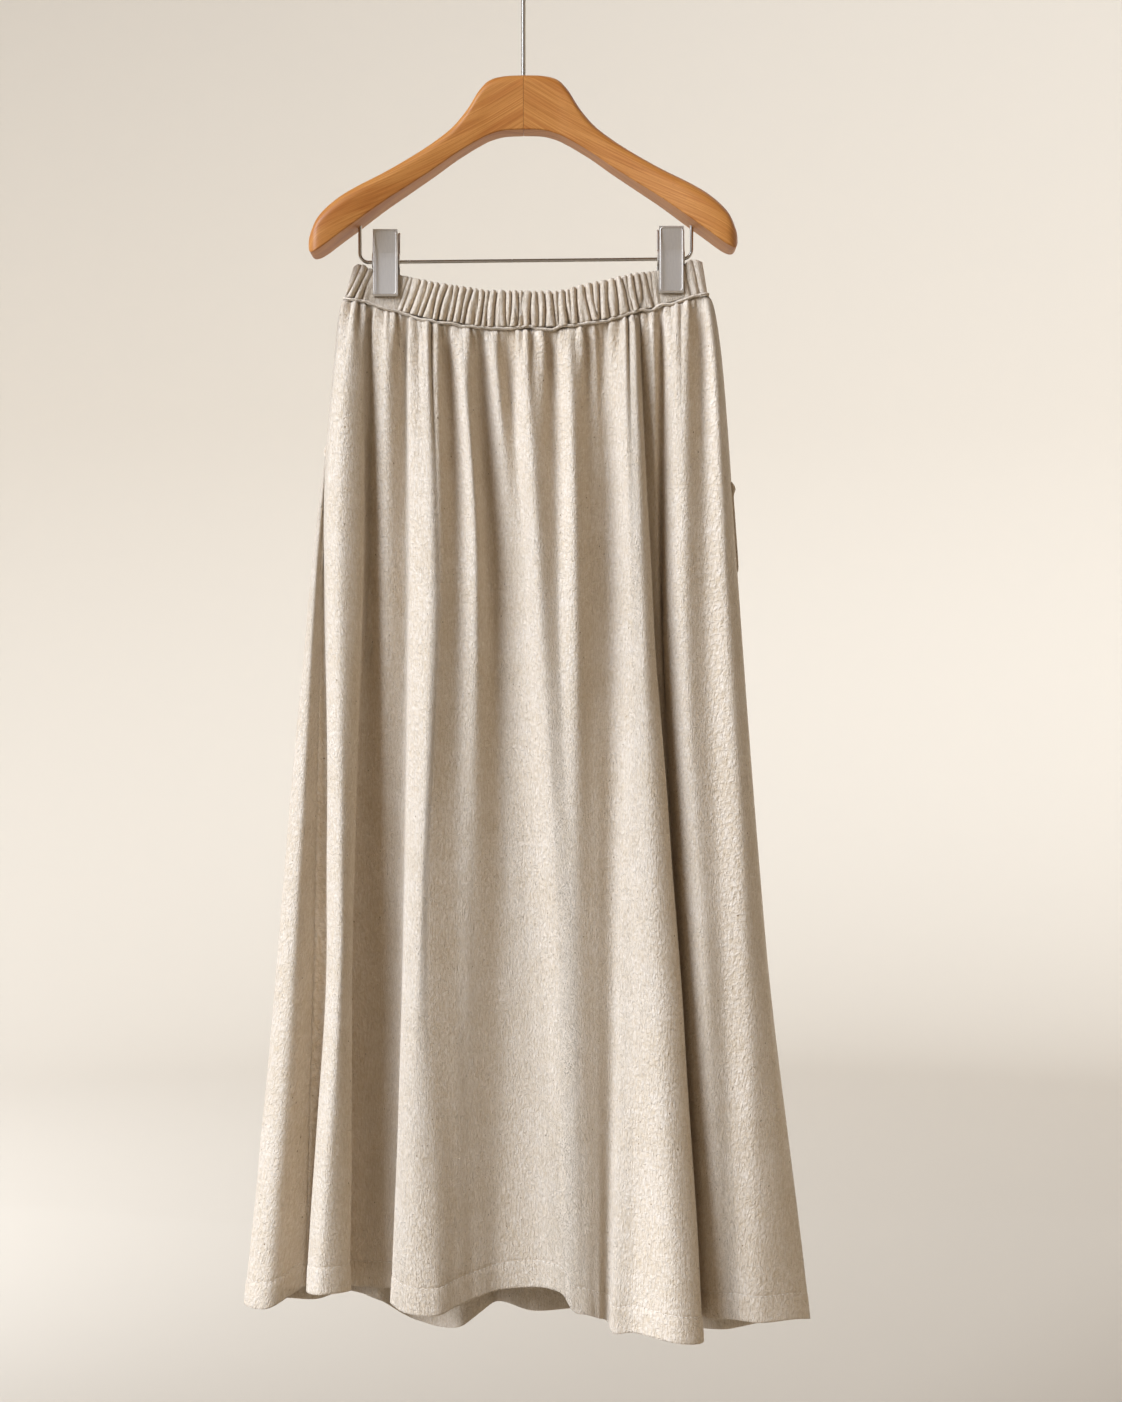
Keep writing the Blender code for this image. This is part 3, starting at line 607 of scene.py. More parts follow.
# %% Panel grid
PANEL_ROWS = 132
FRONT_COLUMNS = 366
BACK_COLUMNS = 340
FRONT_FLAT = (0.62, 0.92)  # width of the cut at the waist and at the hem, metres
BACK_FLAT = (0.66, 1.04)
PANEL_LENGTH = 1.04
HEM_ROWS = np.array([40, 34, 30, 28, 27, 26, 25, 24, 22, 18, 12, 6, 2, 0]) * MM  # above the edge
FALL = 960 * MM  # from the waist seam to the hem, roughly


def row_shares(count):
    """Shares of the way down for each row: even rows, then the close rows of the hem."""
    upper = np.linspace(0, 1, count - len(HEM_ROWS), endpoint=False) ** 1.15
    return np.concatenate([upper * (1 - HEM_ROWS[0] / FALL), 1 - HEM_ROWS / FALL])


def run_lengths(line):
    """Length along a line of points, from its start to each of them."""
    return np.concatenate([[0], np.cumsum(np.linalg.norm(np.diff(line, axis=0), axis=1))])


def column_places(table, count):
    """Places across, in knots, that share out waist and hem evenly."""
    fine = np.linspace(0, len(table) - 1, 1601)
    spans = []
    for x, out in ((table[:, 0], np.zeros(len(table))), (table[:, 3], table[:, 7])):
        lengths = run_lengths(curve_across(np.stack([x, out], axis=1), fine))
        spans.append(lengths / lengths[-1])
    return np.interp(np.linspace(0, 1, count), (spans[0] + spans[1]) / 2, fine)


def panel_base(folds, side, places, shares):
    """Smooth folds only: rows of (across, forward, height), and each column's waist place."""
    table = np.array([row[1:] for row in folds], dtype=float) * MM
    hems = HEM_LEVEL - table[:, 8] - (BACK_DROP if side < 0 else 0.0)
    waist_out = side * waist_depth(table[:, 0], SEAM_PINCHED_DEPTH)
    outs = np.column_stack([waist_out, table[:, 4:8]])
    lean = 0.16 + 0.22 * (np.abs(table[:, 0]) / WAIST_HALF) ** 4  # the sides curve out sooner
    yoke = table[:, 0] + (table[:, 1] - table[:, 0]) * lean
    acrosses = np.column_stack([table[:, 0], yoke, table[:, 1:4]])
    grid = np.zeros((len(shares), len(places), 3))
    for row, down in enumerate(shares):
        knots = np.column_stack([eased(acrosses, down), eased(outs, down), table[:, 0], hems])
        across, out, waist_across, hem = curve_across(knots, places).T
        top = waist_heights(waist_across)[1] - SEAM_HALF_GAP
        grid[row] = np.column_stack([across + MID, -out, top + (hem - top) * down])
    return grid, waist_across


def sheet_normals(grid):
    """Unit normals of the grid, pointing out of the skirt."""
    along = np.gradient(grid, axis=1)
    down = np.gradient(grid, axis=0)
    normals = np.cross(down, along)
    return normals / np.maximum(np.linalg.norm(normals, axis=2, keepdims=True), 1e-12)


print("rows by columns:", PANEL_ROWS, "x", FRONT_COLUMNS)


# %% Gathers and slow waves on a panel
GATHER_STRENGTH = 1.5
GATHER_SHARP_DEPTH = 60 * MM  # by here a ridge has lost half of its sharp part
SEAM_TUCK = 4 * MM  # the stitches hold the gathers down this close to the seam
TROUGH_SHARE = 0.45  # each ridge has a shallow trough on both sides
TROUGH_SPREAD = 5.0
GROOVE_DEPTH = 0.9 * MM
GROOVE_HALF_WIDTH = 1.8 * MM
EDGE_COLUMNS = 5  # the push fades to nothing over these at the side seams


def gather_push(gathers, waist_across, depth_down):
    """How far gathers push the cloth out, over rows (depth below the seam) and columns."""
    push = np.zeros((len(depth_down), len(waist_across)))
    for place, length, height, width, drift in gathers:
        share = np.clip(depth_down / (length * MM), 0, 1)
        sharp = 0.35 + 0.65 / (1 + (depth_down / GATHER_SHARP_DEPTH) ** 2)
        fade = (1 - share) ** 2 * (1 + 2 * share) * sharp
        fade *= np.clip(depth_down / SEAM_TUCK, 0.15, 1)
        spread = width * MM * (1 + 1.6 * share)
        centre = (place + drift * share) * MM
        away = ((waist_across[None] - centre[:, None]) / spread[:, None]) ** 2
        ridge = np.exp(-away) - TROUGH_SHARE * np.exp(-away / TROUGH_SPREAD)
        push += (GATHER_STRENGTH * height * MM * fade)[:, None] * ridge
    return push


def hem_push(metres_u, above_hem):
    """A pressed groove at the hem's stitching, with small puckers below it."""
    groove = -GROOVE_DEPTH * np.exp(-(((above_hem - HEM_TURN) / GROOVE_HALF_WIDTH) ** 2))
    pucker = np.clip(1 - above_hem / (1.7 * HEM_TURN), 0, 1)
    pucker *= np.clip(above_hem / (4 * MM), 0.4, 1)
    waves = soft_noise(metres_u, above_hem, 9 * MM, 40 * MM, 11) * 0.5 * MM
    waves += soft_noise(metres_u, above_hem, 24 * MM, 60 * MM, 12) * 0.9 * MM
    return groove + pucker * waves


def make_panel_grid(folds, gathers, side, columns, flat, seed):
    """The finished surface of a panel and its map in metres of cloth."""
    table = np.array([row[1:] for row in folds], dtype=float) * MM
    places = column_places(table, columns)
    shares = row_shares(PANEL_ROWS)
    grid, waist_across = panel_base(folds, side, places, shares)
    share_across = np.linspace(-0.5, 0.5, columns)
    width = flat[0] + (flat[1] - flat[0]) * shares
    lengths = np.repeat(-shares[:, None] * PANEL_LENGTH, columns, 1)
    metres = np.stack([share_across[None] * width[:, None], lengths], axis=-1)
    down = grid[0, :, 2] - grid[:, :, 2]
    above_hem = grid[:, :, 2] - grid[-1, :, 2]
    push = gather_push(gathers, waist_across, down.mean(axis=1))
    free = np.clip(down / (120 * MM), 0, 1)
    u, v = metres[..., 0], metres[..., 1]
    push += 1.3 * MM * free * soft_noise(u, v, 45 * MM, 300 * MM, seed)
    push += 0.6 * MM * free * soft_noise(u, v, 18 * MM, 110 * MM, seed + 1)
    push += hem_push(u, above_hem)
    edge = np.minimum(np.arange(columns), np.arange(columns)[::-1])[None]
    push *= np.clip(edge / EDGE_COLUMNS, 0, 1)
    return grid + sheet_normals(grid) * push[..., None], metres, above_hem


front_grid, front_metres, front_above = make_panel_grid(
    FRONT_FOLDS, (*FRONT_GATHERS, *fine_gathers), 1, FRONT_COLUMNS, FRONT_FLAT, 3
)
print("front hem measures", round(run_lengths(front_grid[-1])[-1], 3), "m")

# %% [markdown]
# ## The two skirt panels
# Front and back are cut as wide A-line pieces and joined at the side seams. Each is a single
# sheet here, as it is in the skirt, and the wall doubles where the hem is turned up.


# %% Front and back panels
def make_panel(name, grid, metres, above_hem, flat):
    """A panel, thicker where its hem is doubled, and the size of its cut."""
    double = np.clip((HEM_TURN - above_hem) / (1.2 * MM) + 0.5, 0, 1)
    thick = (CLOTH_WALL + (HEM_WALL - CLOTH_WALL) * double) / HEM_WALL
    piece = cloth_from_grid(name, grid, metres, linen, HEM_WALL, thick=thick)
    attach(piece, "root")
    area = (flat[0] + flat[1]) / 2 * PANEL_LENGTH
    return piece, {"flat": (flat[1], PANEL_LENGTH), "area": area}


skirt_front, front_cut = make_panel(
    "front_panel", front_grid, front_metres, front_above, FRONT_FLAT
)
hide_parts("skirt_front")
back_grid, back_metres, back_above = make_panel_grid(
    BACK_FOLDS, (*back_gathers, *fine_gathers), -1, BACK_COLUMNS, BACK_FLAT, 23
)
skirt_back, back_cut = make_panel("back_panel", back_grid, back_metres, back_above, BACK_FLAT)
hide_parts("skirt_back")
print("cut areas", round(front_cut["area"], 3), "and", round(back_cut["area"], 3), "square metres")

# %% [markdown]
# ## The waistband
# A strip of cloth is sewn round a 30 mm elastic, which pulls it into narrow ruffles with
# sharp creases between them. Some creases lean and some fork, because the cloth slides on
# the elastic. The band is a ring of points, and each crease is a narrow notch in its depth,
# with a rounded swell on both sides. Under a clip's jaws the ruffles are pressed flat.

# %% Waistband creases, in millimetres
BAND_COLUMNS = 760
BAND_ROWS = 20
BAND_TAPER = {"left": 0.050, "right": 0.028}  # how much narrower the top is than the seam
NOTCH_WIDTH = 0.85 * MM
SWELL_PLACE = 3.6 * MM
SWELL_WIDTH = 1.9 * MM
RUFFLE_DEPTH = 1.4 * MM
NOTCH_GAIN = 2.4  # how many times deeper than the table the notches are cut
BACK_MIRROR = -0.97  # the back's creases are mirrored and drawn in, so that none line up
CROWN = 1.2 * MM  # the elastic makes the band a little fuller at half height
PINCHED_BAND_DEPTH = 1.8 * MM
LEAST_BAND_DEPTH = 1.0 * MM
BAND_CREASES = (
    # at top, at foot, depth
    (-173, -180, 1.6), (-166, -172, 2.0), (-160, -164, 1.2), (-123, -129, 1.6),
    (-119, -124, 1.0), (-110, -117, 2.4), (-103, -108, 1.2), (-96, -104, 2.4),
    (-90, -93, 1.4), (-81, -88, 2.6), (-76, -79, 1.2), (-70, -74, 2.4), (-62, -66, 1.8),
    (-55, -62, 2.6), (-50, -51, 1.2), (-43, -46, 2.4), (-38, -39, 1.2), (-30, -32, 2.6),
    (-21, -19, 2.2), (-15, -17, 1.2), (-8, -8, 2.6), (-3, -4, 1.2), (6, 5, 2.2),
    (11, 12, 1.2), (19, 19, 2.6), (27, 29, 2.2), (33, 34, 1.0), (40, 42, 2.6), (44, 46, 1.4),
    (52, 52, 2.2), (60, 66, 2.4), (68, 72, 1.4), (75, 75, 2.6), (84, 83, 1.4), (91, 93, 2.4),
    (98, 103, 2.4), (103, 108, 1.4), (110, 113, 2.2), (116, 117, 1.2), (123, 127, 2.4),
    (128, 131, 1.2), (163, 165, 1.8), (171, 174, 1.6),
)
SECOND_CREASES = [
    (top + 3.1 * math.sin(5.3 * n), foot + 2.2 * math.sin(3.1 * n), 1.1 + 0.4 * math.sin(n))
    for n, (top, foot, _) in enumerate(BAND_CREASES)
]
print(len(BAND_CREASES) + len(SECOND_CREASES), "creases on each side of the band")


# %% Waistband mesh
def crease_notches(across, up, creases, side):
    """Narrow valleys and the round ruffles between them; the back's are mirrored."""
    notch = np.zeros_like(across)
    for top, foot, depth in creases:
        centre = (foot + (top - foot) * up) * MM * (1 if side > 0 else BACK_MIRROR)
        bend = 1.2 * MM * math.sin(7.0 * top) * np.sin(np.pi * up)
        away = np.abs(across - centre - bend)
        swell = np.exp(-(((away - SWELL_PLACE) / SWELL_WIDTH) ** 2))
        notch += depth * MM * (np.exp(-((away / NOTCH_WIDTH) ** 2)) - 0.30 * swell)
    return notch


def make_band_grid():
    """The band as rows of points round the waist, front first, from its top to the seam."""
    up = np.linspace(1, 0, BAND_ROWS)[:, None]
    share = (np.arange(BAND_COLUMNS // 2) + 0.5) / (BAND_COLUMNS // 2)
    halves = []
    for side in (1, -1):
        spread = 0.3 * np.cos(np.pi * share) + 0.7 * (1 - 2 * share)  # closer at the ends
        across = -side * WAIST_HALF * spread[None] * np.ones_like(up)
        pinched = PINCHED_BAND_DEPTH * (1 + np.clip(1 - up / 0.28, 0, 1))
        depth = waist_depth(across, pinched)
        free = 1 - 0.95 * jaw_grip(across)
        room = np.clip(0.45 + depth / WAIST_DEPTH, 0, 1) * free
        notch = crease_notches(across, up, BAND_CREASES, side)
        low_half = np.clip(1.6 - 2.4 * up, 0.0, 1.0)  # the second creases start at the seam
        notch += low_half * crease_notches(across, up, SECOND_CREASES, side)
        # Ruffles need room: they are lower where the band is pinched and flat in the jaws.
        depth = np.maximum(depth + room * (RUFFLE_DEPTH - NOTCH_GAIN * notch), LEAST_BAND_DEPTH)
        top, seam = waist_heights(across)
        top = top + room * (1.0 * MM - 0.75 * notch) * up
        low = seam + SEAM_HALF_GAP + 0.3 * MM
        taper = np.where(across < 0, BAND_TAPER["left"], BAND_TAPER["right"])
        out = side * (depth + CROWN * room * np.sin(np.pi * up))
        height = low + (top - low) * up
        halves.append(np.stack([across * (1 - taper * up) + MID, -out, height], axis=-1))
    return np.concatenate(halves, axis=1)


band_grid = make_band_grid()
BAND_HEIGHT = 36 * MM
BAND_CUT = (1.27, 0.040)  # the strip is cut 82 mm wide and folded over the elastic
band_u = np.linspace(0, BAND_CUT[0], BAND_COLUMNS, endpoint=False)
band_v = np.linspace(0, BAND_HEIGHT, BAND_ROWS)
band_metres = np.stack(np.meshgrid(band_u, band_v), axis=-1)
waistband = cloth_from_grid("waistband_cloth", band_grid, band_metres, linen, 1.2 * MM, ring=True)
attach(waistband, "root")
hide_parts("waistband")
print("band round", round(run_lengths(band_grid[0])[-1], 3), "m")

# %% [markdown]
# ## The corded seam
# A cord of folded cloth covers the seam where the band meets the gathers. The gathers push
# it up and down, so it is a thin tube on a slightly wavy line all the way round.

# %% Cord at the waist seam
CORD_RADIUS = 1.6 * MM
CORD_STEPS = 520
CORD_STAND_OFF = 2.5 * MM


def tube_grid(path, radius, sides, closed, up):
    """Rings of points round a path, each square to it; up is never along the path."""
    path = np.asarray(path, dtype=float)
    if closed:
        ahead = np.roll(path, -1, axis=0) - np.roll(path, 1, axis=0)
    else:
        ahead = np.gradient(path, axis=0)
    ahead /= np.linalg.norm(ahead, axis=1, keepdims=True)
    side = np.cross(ahead, up)
    side /= np.linalg.norm(side, axis=1, keepdims=True)
    lift = np.cross(side, ahead)
    turn = np.linspace(0, 2 * np.pi, sides, endpoint=False)[None, :, None]
    radius = np.broadcast_to(radius, len(path))[:, None, None]
    ring = np.cos(turn) * side[:, None] + np.sin(turn) * lift[:, None]
    return path[:, None] + radius * ring


def cord_path():
    """Points along the seam, all the way round, pushed up and down by the gathers."""
    points = []
    for side in (1, -1):
        share = (np.arange(CORD_STEPS // 2) + 0.5) / (CORD_STEPS // 2)
        across = -side * (WAIST_HALF + 0.6 * MM) * np.cos(np.pi * share)
        out = side * (waist_depth(across, SEAM_PINCHED_DEPTH) + CORD_STAND_OFF)
        wave = soft_noise(across, across * 0, 11 * MM, 1.0, 41 + side)
        fine = soft_noise(across, across * 0, 5 * MM, 1.0, 47 + side)
        height = waist_heights(across)[1] + 1.9 * MM * wave + 0.5 * MM * fine
        points.append(np.stack([across + MID, -out - side * 0.5 * MM * fine, height], axis=-1))
    return np.concatenate(points)


def closed_tube(name, path, radius, sides, material, closed, up=(0, 1, 0), around_metres=0.008):
    """A tube as a mesh, with a cap at each end if it is open, and a map along and around it."""
    rings = tube_grid(path, radius, sides, closed, up)
    count = len(rings)
    faces = [
        (r * sides + s, r * sides + (s + 1) % sides,
         (r + 1) % count * sides + (s + 1) % sides, (r + 1) % count * sides + s)
        for r in range(count if closed else count - 1)
        for s in range(sides)
    ]
    if not closed:
        faces += [tuple(range(sides))[::-1], tuple((count - 1) * sides + s for s in range(sides))]
    piece = add_piece(name, rings.reshape(-1, 3), faces, material)
    along = run_lengths(path)
    layer = piece.data.uv_layers.new(name="cloth_metres")
    for loop in piece.data.loops:
        ring, spot = divmod(loop.vertex_index, sides)
        layer.data[loop.index].uv = (spot / sides * around_metres, along[ring])
    return piece


waist_cord = closed_tube(
    "waist_seam_cord", cord_path(), CORD_RADIUS, 8, linen, closed=True, up=(0, 0, 1)
)
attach(waist_cord, "root")
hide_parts("waist_piping")
print("cord", len(waist_cord.data.vertices), "points")

# %% [markdown]
# ## Pockets
# Each pocket is a flat bag of the same cloth, set into a side seam. Only the lips of the
# mouth show from outside, so the bag is a simple folded sheet that hangs just inside. Its
# corners are rounded by two curves, and it follows the seam, so a small function finds where
# the seam is at any height.

# %% Pocket bags
POCKET_TOP, POCKET_MOUTH_FOOT, POCKET_FOOT = -492 * MM, -622 * MM, -735 * MM
POCKET_REACH = 62 * MM
POCKET_SEAMS = {"left": (FRONT_FOLDS[0], 1), "right": (FRONT_FOLDS[-1], -1)}
BAG_CUT = (0.13, 0.243)
BAG_ROWS = 26
BAG_COLUMNS = 12
BAG_HALF_GAP = 1.1 * MM
BAG_CLEAR_OF_SEAM = 4.0 * MM
BAG_SLANT = 0.20  # below the mouth the bag's edge leaves the seam at this slope
BAG_SINK = 6.5 * MM  # how far its inner edge hangs behind the seam
SEAM_LEAN = 0.38  # the yoke's share of a side seam's way out from the waist to the hip


def seam_place(seam, height):
    """Where a side seam is at a height: across the skirt, and how far out."""
    _, waist, hip, knee, hem, *outs, _ = seam
    share = (height - PANEL_TOP) / (HEM_LEVEL - PANEL_TOP)
    yoke = waist + (hip - waist) * SEAM_LEAN
    across = eased([(waist, yoke, hip, knee, hem)], share)[0]
    return across * MM + MID, eased([(0.0, *outs)], share)[0] * MM


for side_name, (seam, inward) in POCKET_SEAMS.items():
    rows = []
    for down in np.linspace(0, 1, BAG_ROWS):
        z = POCKET_TOP + (POCKET_FOOT - POCKET_TOP) * down
        seam_x, seam_out = seam_place(seam, z)
        round_top = math.sqrt(1.0 - max(0.75 - 4.0 * down, 0.0) ** 2)
        round_foot = math.sqrt(max(1.0 - max(2.6 * down - 1.66, 0.0) ** 2, 0.06))
        reach = POCKET_REACH * min(round_top, round_foot)
        near = BAG_CLEAR_OF_SEAM + BAG_SLANT * (max(z, POCKET_MOUTH_FOOT) - z)
        along = near + (reach - near) * np.linspace(0, 1, BAG_COLUMNS)
        sink = 0.8 * MM + BAG_SINK * np.sin(along / POCKET_REACH * np.pi / 2)
        x = seam_x + inward * along
        height = np.full_like(x, z)
        front, back = (
            np.stack([x, sink - seam_out - gap, height], axis=-1)
            for gap in (BAG_HALF_GAP, -BAG_HALF_GAP)
        )
        rows.append(np.concatenate([front, back[::-1]]))
    spread = np.stack(np.meshgrid(
        np.linspace(0, BAG_CUT[0], 2 * BAG_COLUMNS), np.linspace(0, -BAG_CUT[1], BAG_ROWS)
    ), axis=-1)
    pocket = cloth_from_grid(
        f"pocket_bag_{side_name}", np.array(rows), spread, linen, 0.7 * MM
    )
    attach(pocket, "root")
    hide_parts(f"pocket_{side_name}")

# %% [markdown]
# ## The lips of the pocket mouths
# The edge of each pocket's mouth is turned and stitched, and a bar tack at its top bunches
# the cloth into a small knot, which breaks the outline of the skirt. A thin tube that swells
# at the tack gives that with few faces. The right-hand mouth starts a little lower.

# %% Lips of the pocket mouths
LIP_RADIUS = 1.25 * MM
LIP_STEPS = 64
LIP_DROP = {"left": 0 * MM, "right": 40 * MM}
TACK_PLACE, TACK_LENGTH = 0.07, 0.05  # as shares of the lip
for side_name, (seam, inward) in POCKET_SEAMS.items():
    path, radii = [], []
    lip_top = POCKET_TOP - LIP_DROP[side_name]
    for down in np.linspace(0, 1, LIP_STEPS):
        z = lip_top + (POCKET_MOUTH_FOOT - lip_top) * down
        seam_x, seam_out = seam_place(seam, z)
        knot = math.exp(-(((down - TACK_PLACE) / TACK_LENGTH) ** 2))
        ends = math.sqrt(max(1 - (2 * down - 1) ** 8, 0.02))
        x = seam_x - inward * (0.4 + 1.6 * knot) * MM
        path.append((x, -seam_out - 0.6 * MM, z))
        radii.append((1 + 0.9 * knot) * LIP_RADIUS * ends)
    lip = closed_tube(
        f"pocket_lip_{side_name}", np.array(path), np.array(radii), 10, linen, closed=False
    )
    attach(lip, "root")

# %% [markdown]
# ## Hem stitches
# One line of machine stitches holds the turned-up hem. They could be painted, but raised
# thread catches the light, so each is a short rounded grain of thread laid on the cloth,
# and all of a panel's stitches are one mesh.

# %% Stitches along the hem
STITCH_PITCH = 5.2 * MM
STITCH_LENGTH = 3.4 * MM
THREAD_RADIUS = 0.42 * MM
END_MARGIN = 4 * MM  # between the last stitch and a side seam
thread_material = make_cloth("spun_polyester_thread", "#f3e9db", "#e2d3bd", "#cbb798", 0.2 * MM)


def grain(length, radius):
    """Points and faces of one stitch: a short six-sided bead that tapers to its ends."""
    profile = ((-0.5, 0.25), (-0.36, 0.85), (0.0, 1.0), (0.36, 0.85), (0.5, 0.25))
    sides = 6
    turn = np.linspace(0, 2 * np.pi, sides, endpoint=False)
    points = np.array([
        (x * length, r * radius * math.cos(a), r * radius * math.sin(a))
        for x, r in profile for a in turn
    ])
    faces = [
        (r * sides + s, r * sides + (s + 1) % sides,
         (r + 1) * sides + (s + 1) % sides, (r + 1) * sides + s)
        for r in range(len(profile) - 1) for s in range(sides)
    ]
    last = (len(profile) - 1) * sides
    faces += [tuple(range(sides))[::-1], tuple(last + s for s in range(sides))]
    return points, faces


def hem_stitches(name, grid, above_hem, wall):
    """Stitches laid along the surface at the turn-up's height, one mesh for a panel."""
    columns = grid.shape[1]
    normals = sheet_normals(grid)
    line, outward = [], []
    for column in range(columns):
        heights = above_hem[::-1, column]
        spot = np.interp(HEM_TURN, heights, np.arange(len(heights)))
        row = len(heights) - 1 - spot
        k = int(row)
        t = row - k
        line.append(grid[k, column] * (1 - t) + grid[k + 1, column] * t)
        outward.append(normals[k, column])
    line, outward = np.array(line), np.array(outward)
    length = run_lengths(line)
    bead, bead_faces = grain(STITCH_LENGTH, THREAD_RADIUS)
    points, faces = [], []
    for at in np.arange(END_MARGIN, length[-1] - END_MARGIN, STITCH_PITCH):
        before, after = (
            np.array([np.interp(s, length, line[:, c]) for c in range(3)])
            for s in (at - 1 * MM, at + 1 * MM)
        )
        normal = np.array([np.interp(at, length, outward[:, c]) for c in range(3)])
        normal /= np.linalg.norm(normal)
        ahead = (after - before) / np.linalg.norm(after - before)
        lift = np.cross(normal, ahead)
        middle = (before + after) / 2 + normal * (wall / 2 + 0.1 * MM)
        start = len(points)
        points += list(middle + bead @ np.array([ahead, lift, normal]))
        faces += [tuple(start + v for v in face) for face in bead_faces]
    piece = add_piece(name, points, faces, thread_material)
    piece.data.uv_layers.new(name="cloth_metres")
    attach(piece, "root")
    return piece


front_stitches = hem_stitches("front_hem_stitches", front_grid, front_above, HEM_WALL)
back_stitches = hem_stitches("back_hem_stitches", back_grid, back_above, HEM_WALL)
print("stitches at", STITCH_PITCH / MM, "mm")

# %% [markdown]
# ## The cut of the cloth
# The panels are gathered to the band and the band is doubled over its elastic, so each is
# cut larger than it hangs; the panels' cut sizes and areas are worked out with them.

# %% [markdown]
# ## Varnished beech
# The hanger is shaped and sanded from pale hardwood, stained honey and varnished. Grain runs
# along each arm, so the two meet in a shallow V in the middle. The eye gets long fine
# streaks, short dark pores, and a soft shine from the varnish over them. Real streaks and
# pores are about half as wide as these, which are drawn coarser so that they show.

# %% Varnished wood material
GRAIN_WIDTH = 1.6 * MM
GRAIN_LENGTH = 90 * MM
PORE_WIDTH = 0.45 * MM
PORE_LENGTH = 6 * MM
FIGURE_PER_METRE = (7.0, 70.0)  # broad bands of growth, along the arm and across it
wood, wood_tree, wood_shader = new_material(
    "honey_varnished_beech", Roughness=0.5, IOR=1.5, Specular_IOR_Level=0.3,
    Coat_Weight=0.1, Coat_Roughness=0.2, Coat_IOR=1.5,
)
wood_map = add_node(wood_tree, "ShaderNodeUVMap", uv_map="grain_metres").outputs["UV"]
grain_vector = add_node(
    wood_tree, "ShaderNodeMapping",
    {"Vector": wood_map, "Scale": (1 / GRAIN_LENGTH, 1 / GRAIN_WIDTH, 1.0)},
).outputs["Vector"]
streaks = add_node(
    wood_tree, "ShaderNodeTexNoise",
    {"Vector": grain_vector, "Scale": 1.0, "Detail": 5.0, "Roughness": 0.6, "Distortion": 0.3},
).outputs["Fac"]
figure_vector = add_node(
    wood_tree, "ShaderNodeMapping", {"Vector": wood_map, "Scale": (*FIGURE_PER_METRE, 1.0)}
).outputs["Vector"]
figure = add_node(
    wood_tree, "ShaderNodeTexNoise",
    {"Vector": figure_vector, "Scale": 1.0, "Detail": 2.0, "Distortion": 1.2},
).outputs["Fac"]
pore_vector = add_node(
    wood_tree, "ShaderNodeMapping",
    {"Vector": wood_map, "Scale": (1 / PORE_LENGTH, 1 / PORE_WIDTH, 1.0)},
).outputs["Vector"]
pores = add_node(
    wood_tree, "ShaderNodeTexNoise", {"Vector": pore_vector, "Scale": 1.0, "Detail": 2.0}
).outputs["Fac"]
pore_mask = add_node(
    wood_tree, "ShaderNodeMapRange",
    {"Value": pores, "From Min": 0.60, "From Max": 0.72, "To Min": 0.0, "To Max": 0.55},
).outputs["Result"]
ramp = add_node(wood_tree, "ShaderNodeValToRGB", {"Fac": streaks})
ramp.color_ramp.elements[0].position = 0.30
ramp.color_ramp.elements[0].color = linear("#a56628")
ramp.color_ramp.elements[1].position = 0.72
ramp.color_ramp.elements[1].color = linear("#ca8a46")
figure_share = add_node(
    wood_tree, "ShaderNodeMapRange",
    {"Value": figure, "From Min": 0.42, "From Max": 0.68, "To Min": 0.0, "To Max": 0.55},
).outputs["Result"]
figured = add_node(
    wood_tree, "ShaderNodeMix",
    {MIX_SHARE: figure_share, MIX_FIRST: ramp.outputs["Color"], MIX_SECOND: linear("#dbb98c")},
    data_type="RGBA", blend_type="MULTIPLY",
).outputs[MIX_RESULT]
pored = add_node(
    wood_tree, "ShaderNodeMix",
    {MIX_SHARE: pore_mask, MIX_FIRST: figured, MIX_SECOND: linear("#8a5a2e")},
    data_type="RGBA",
).outputs[MIX_RESULT]
wood_tree.links.new(pored, wood_shader.inputs["Base Color"])
wood_bump = add_node(
    wood_tree, "ShaderNodeBump", {"Height": streaks, "Distance": 0.06 * MM, "Strength": 0.6}
)
wood_tree.links.new(wood_bump.outputs["Normal"], wood_shader.inputs["Normal"])
print("wood:", len(wood_tree.nodes), "nodes")

# %% [markdown]
# ## The wooden arms
# Each arm is lofted through a table of sections: narrow and deep at the shoulder tip, tall
# at the middle. The upper edges are well rounded and the lower ones only eased, so the
# underside reads as a flat. The two arms meet at a fine glued joint.

# %% Arm sections and loft
HANGER_TILT = 0.0113  # the hanger hangs a little lower on the left, as a slope
ARM_REACH = 212.0  # these three are in millimetres, like the table
ARM_FORWARD = 14.0
JOINT_HALF_GAP = 0.15
GRAIN_FALL = 0.62  # how steeply the grain falls away from the middle, as a slope
ARM_SECTIONS = np.array((
    # across  top  bottom  depth
    (0, -127, -183, 29), (20, -128, -184, 29), (34, -132, -188, 29), (44, -142, -193, 30),
    (56, -161, -200, 31), (70, -178, -209, 32), (88, -193, -222, 34), (110, -208, -237, 37),
    (138, -225, -256, 42), (166, -240, -277, 47), (182, -250, -289, 48), (196, -262, -300, 47),
    (204, -272, -305, 44), (209, -283, -306, 36), (211.4, -290, -303.5, 27),
    (212.3, -294, -300, 16),
), dtype=float)
ARM_STATIONS = 110
ARM_SIDES = 40


def smooth_columns(table, count):
    """Rows between the table's rows on smooth curves, closer together where it turns."""
    lengths = run_lengths(table[:, :3])
    spots = np.interp(np.linspace(0, lengths[-1], count), lengths, np.arange(len(table)))
    return curve_across(table, spots)


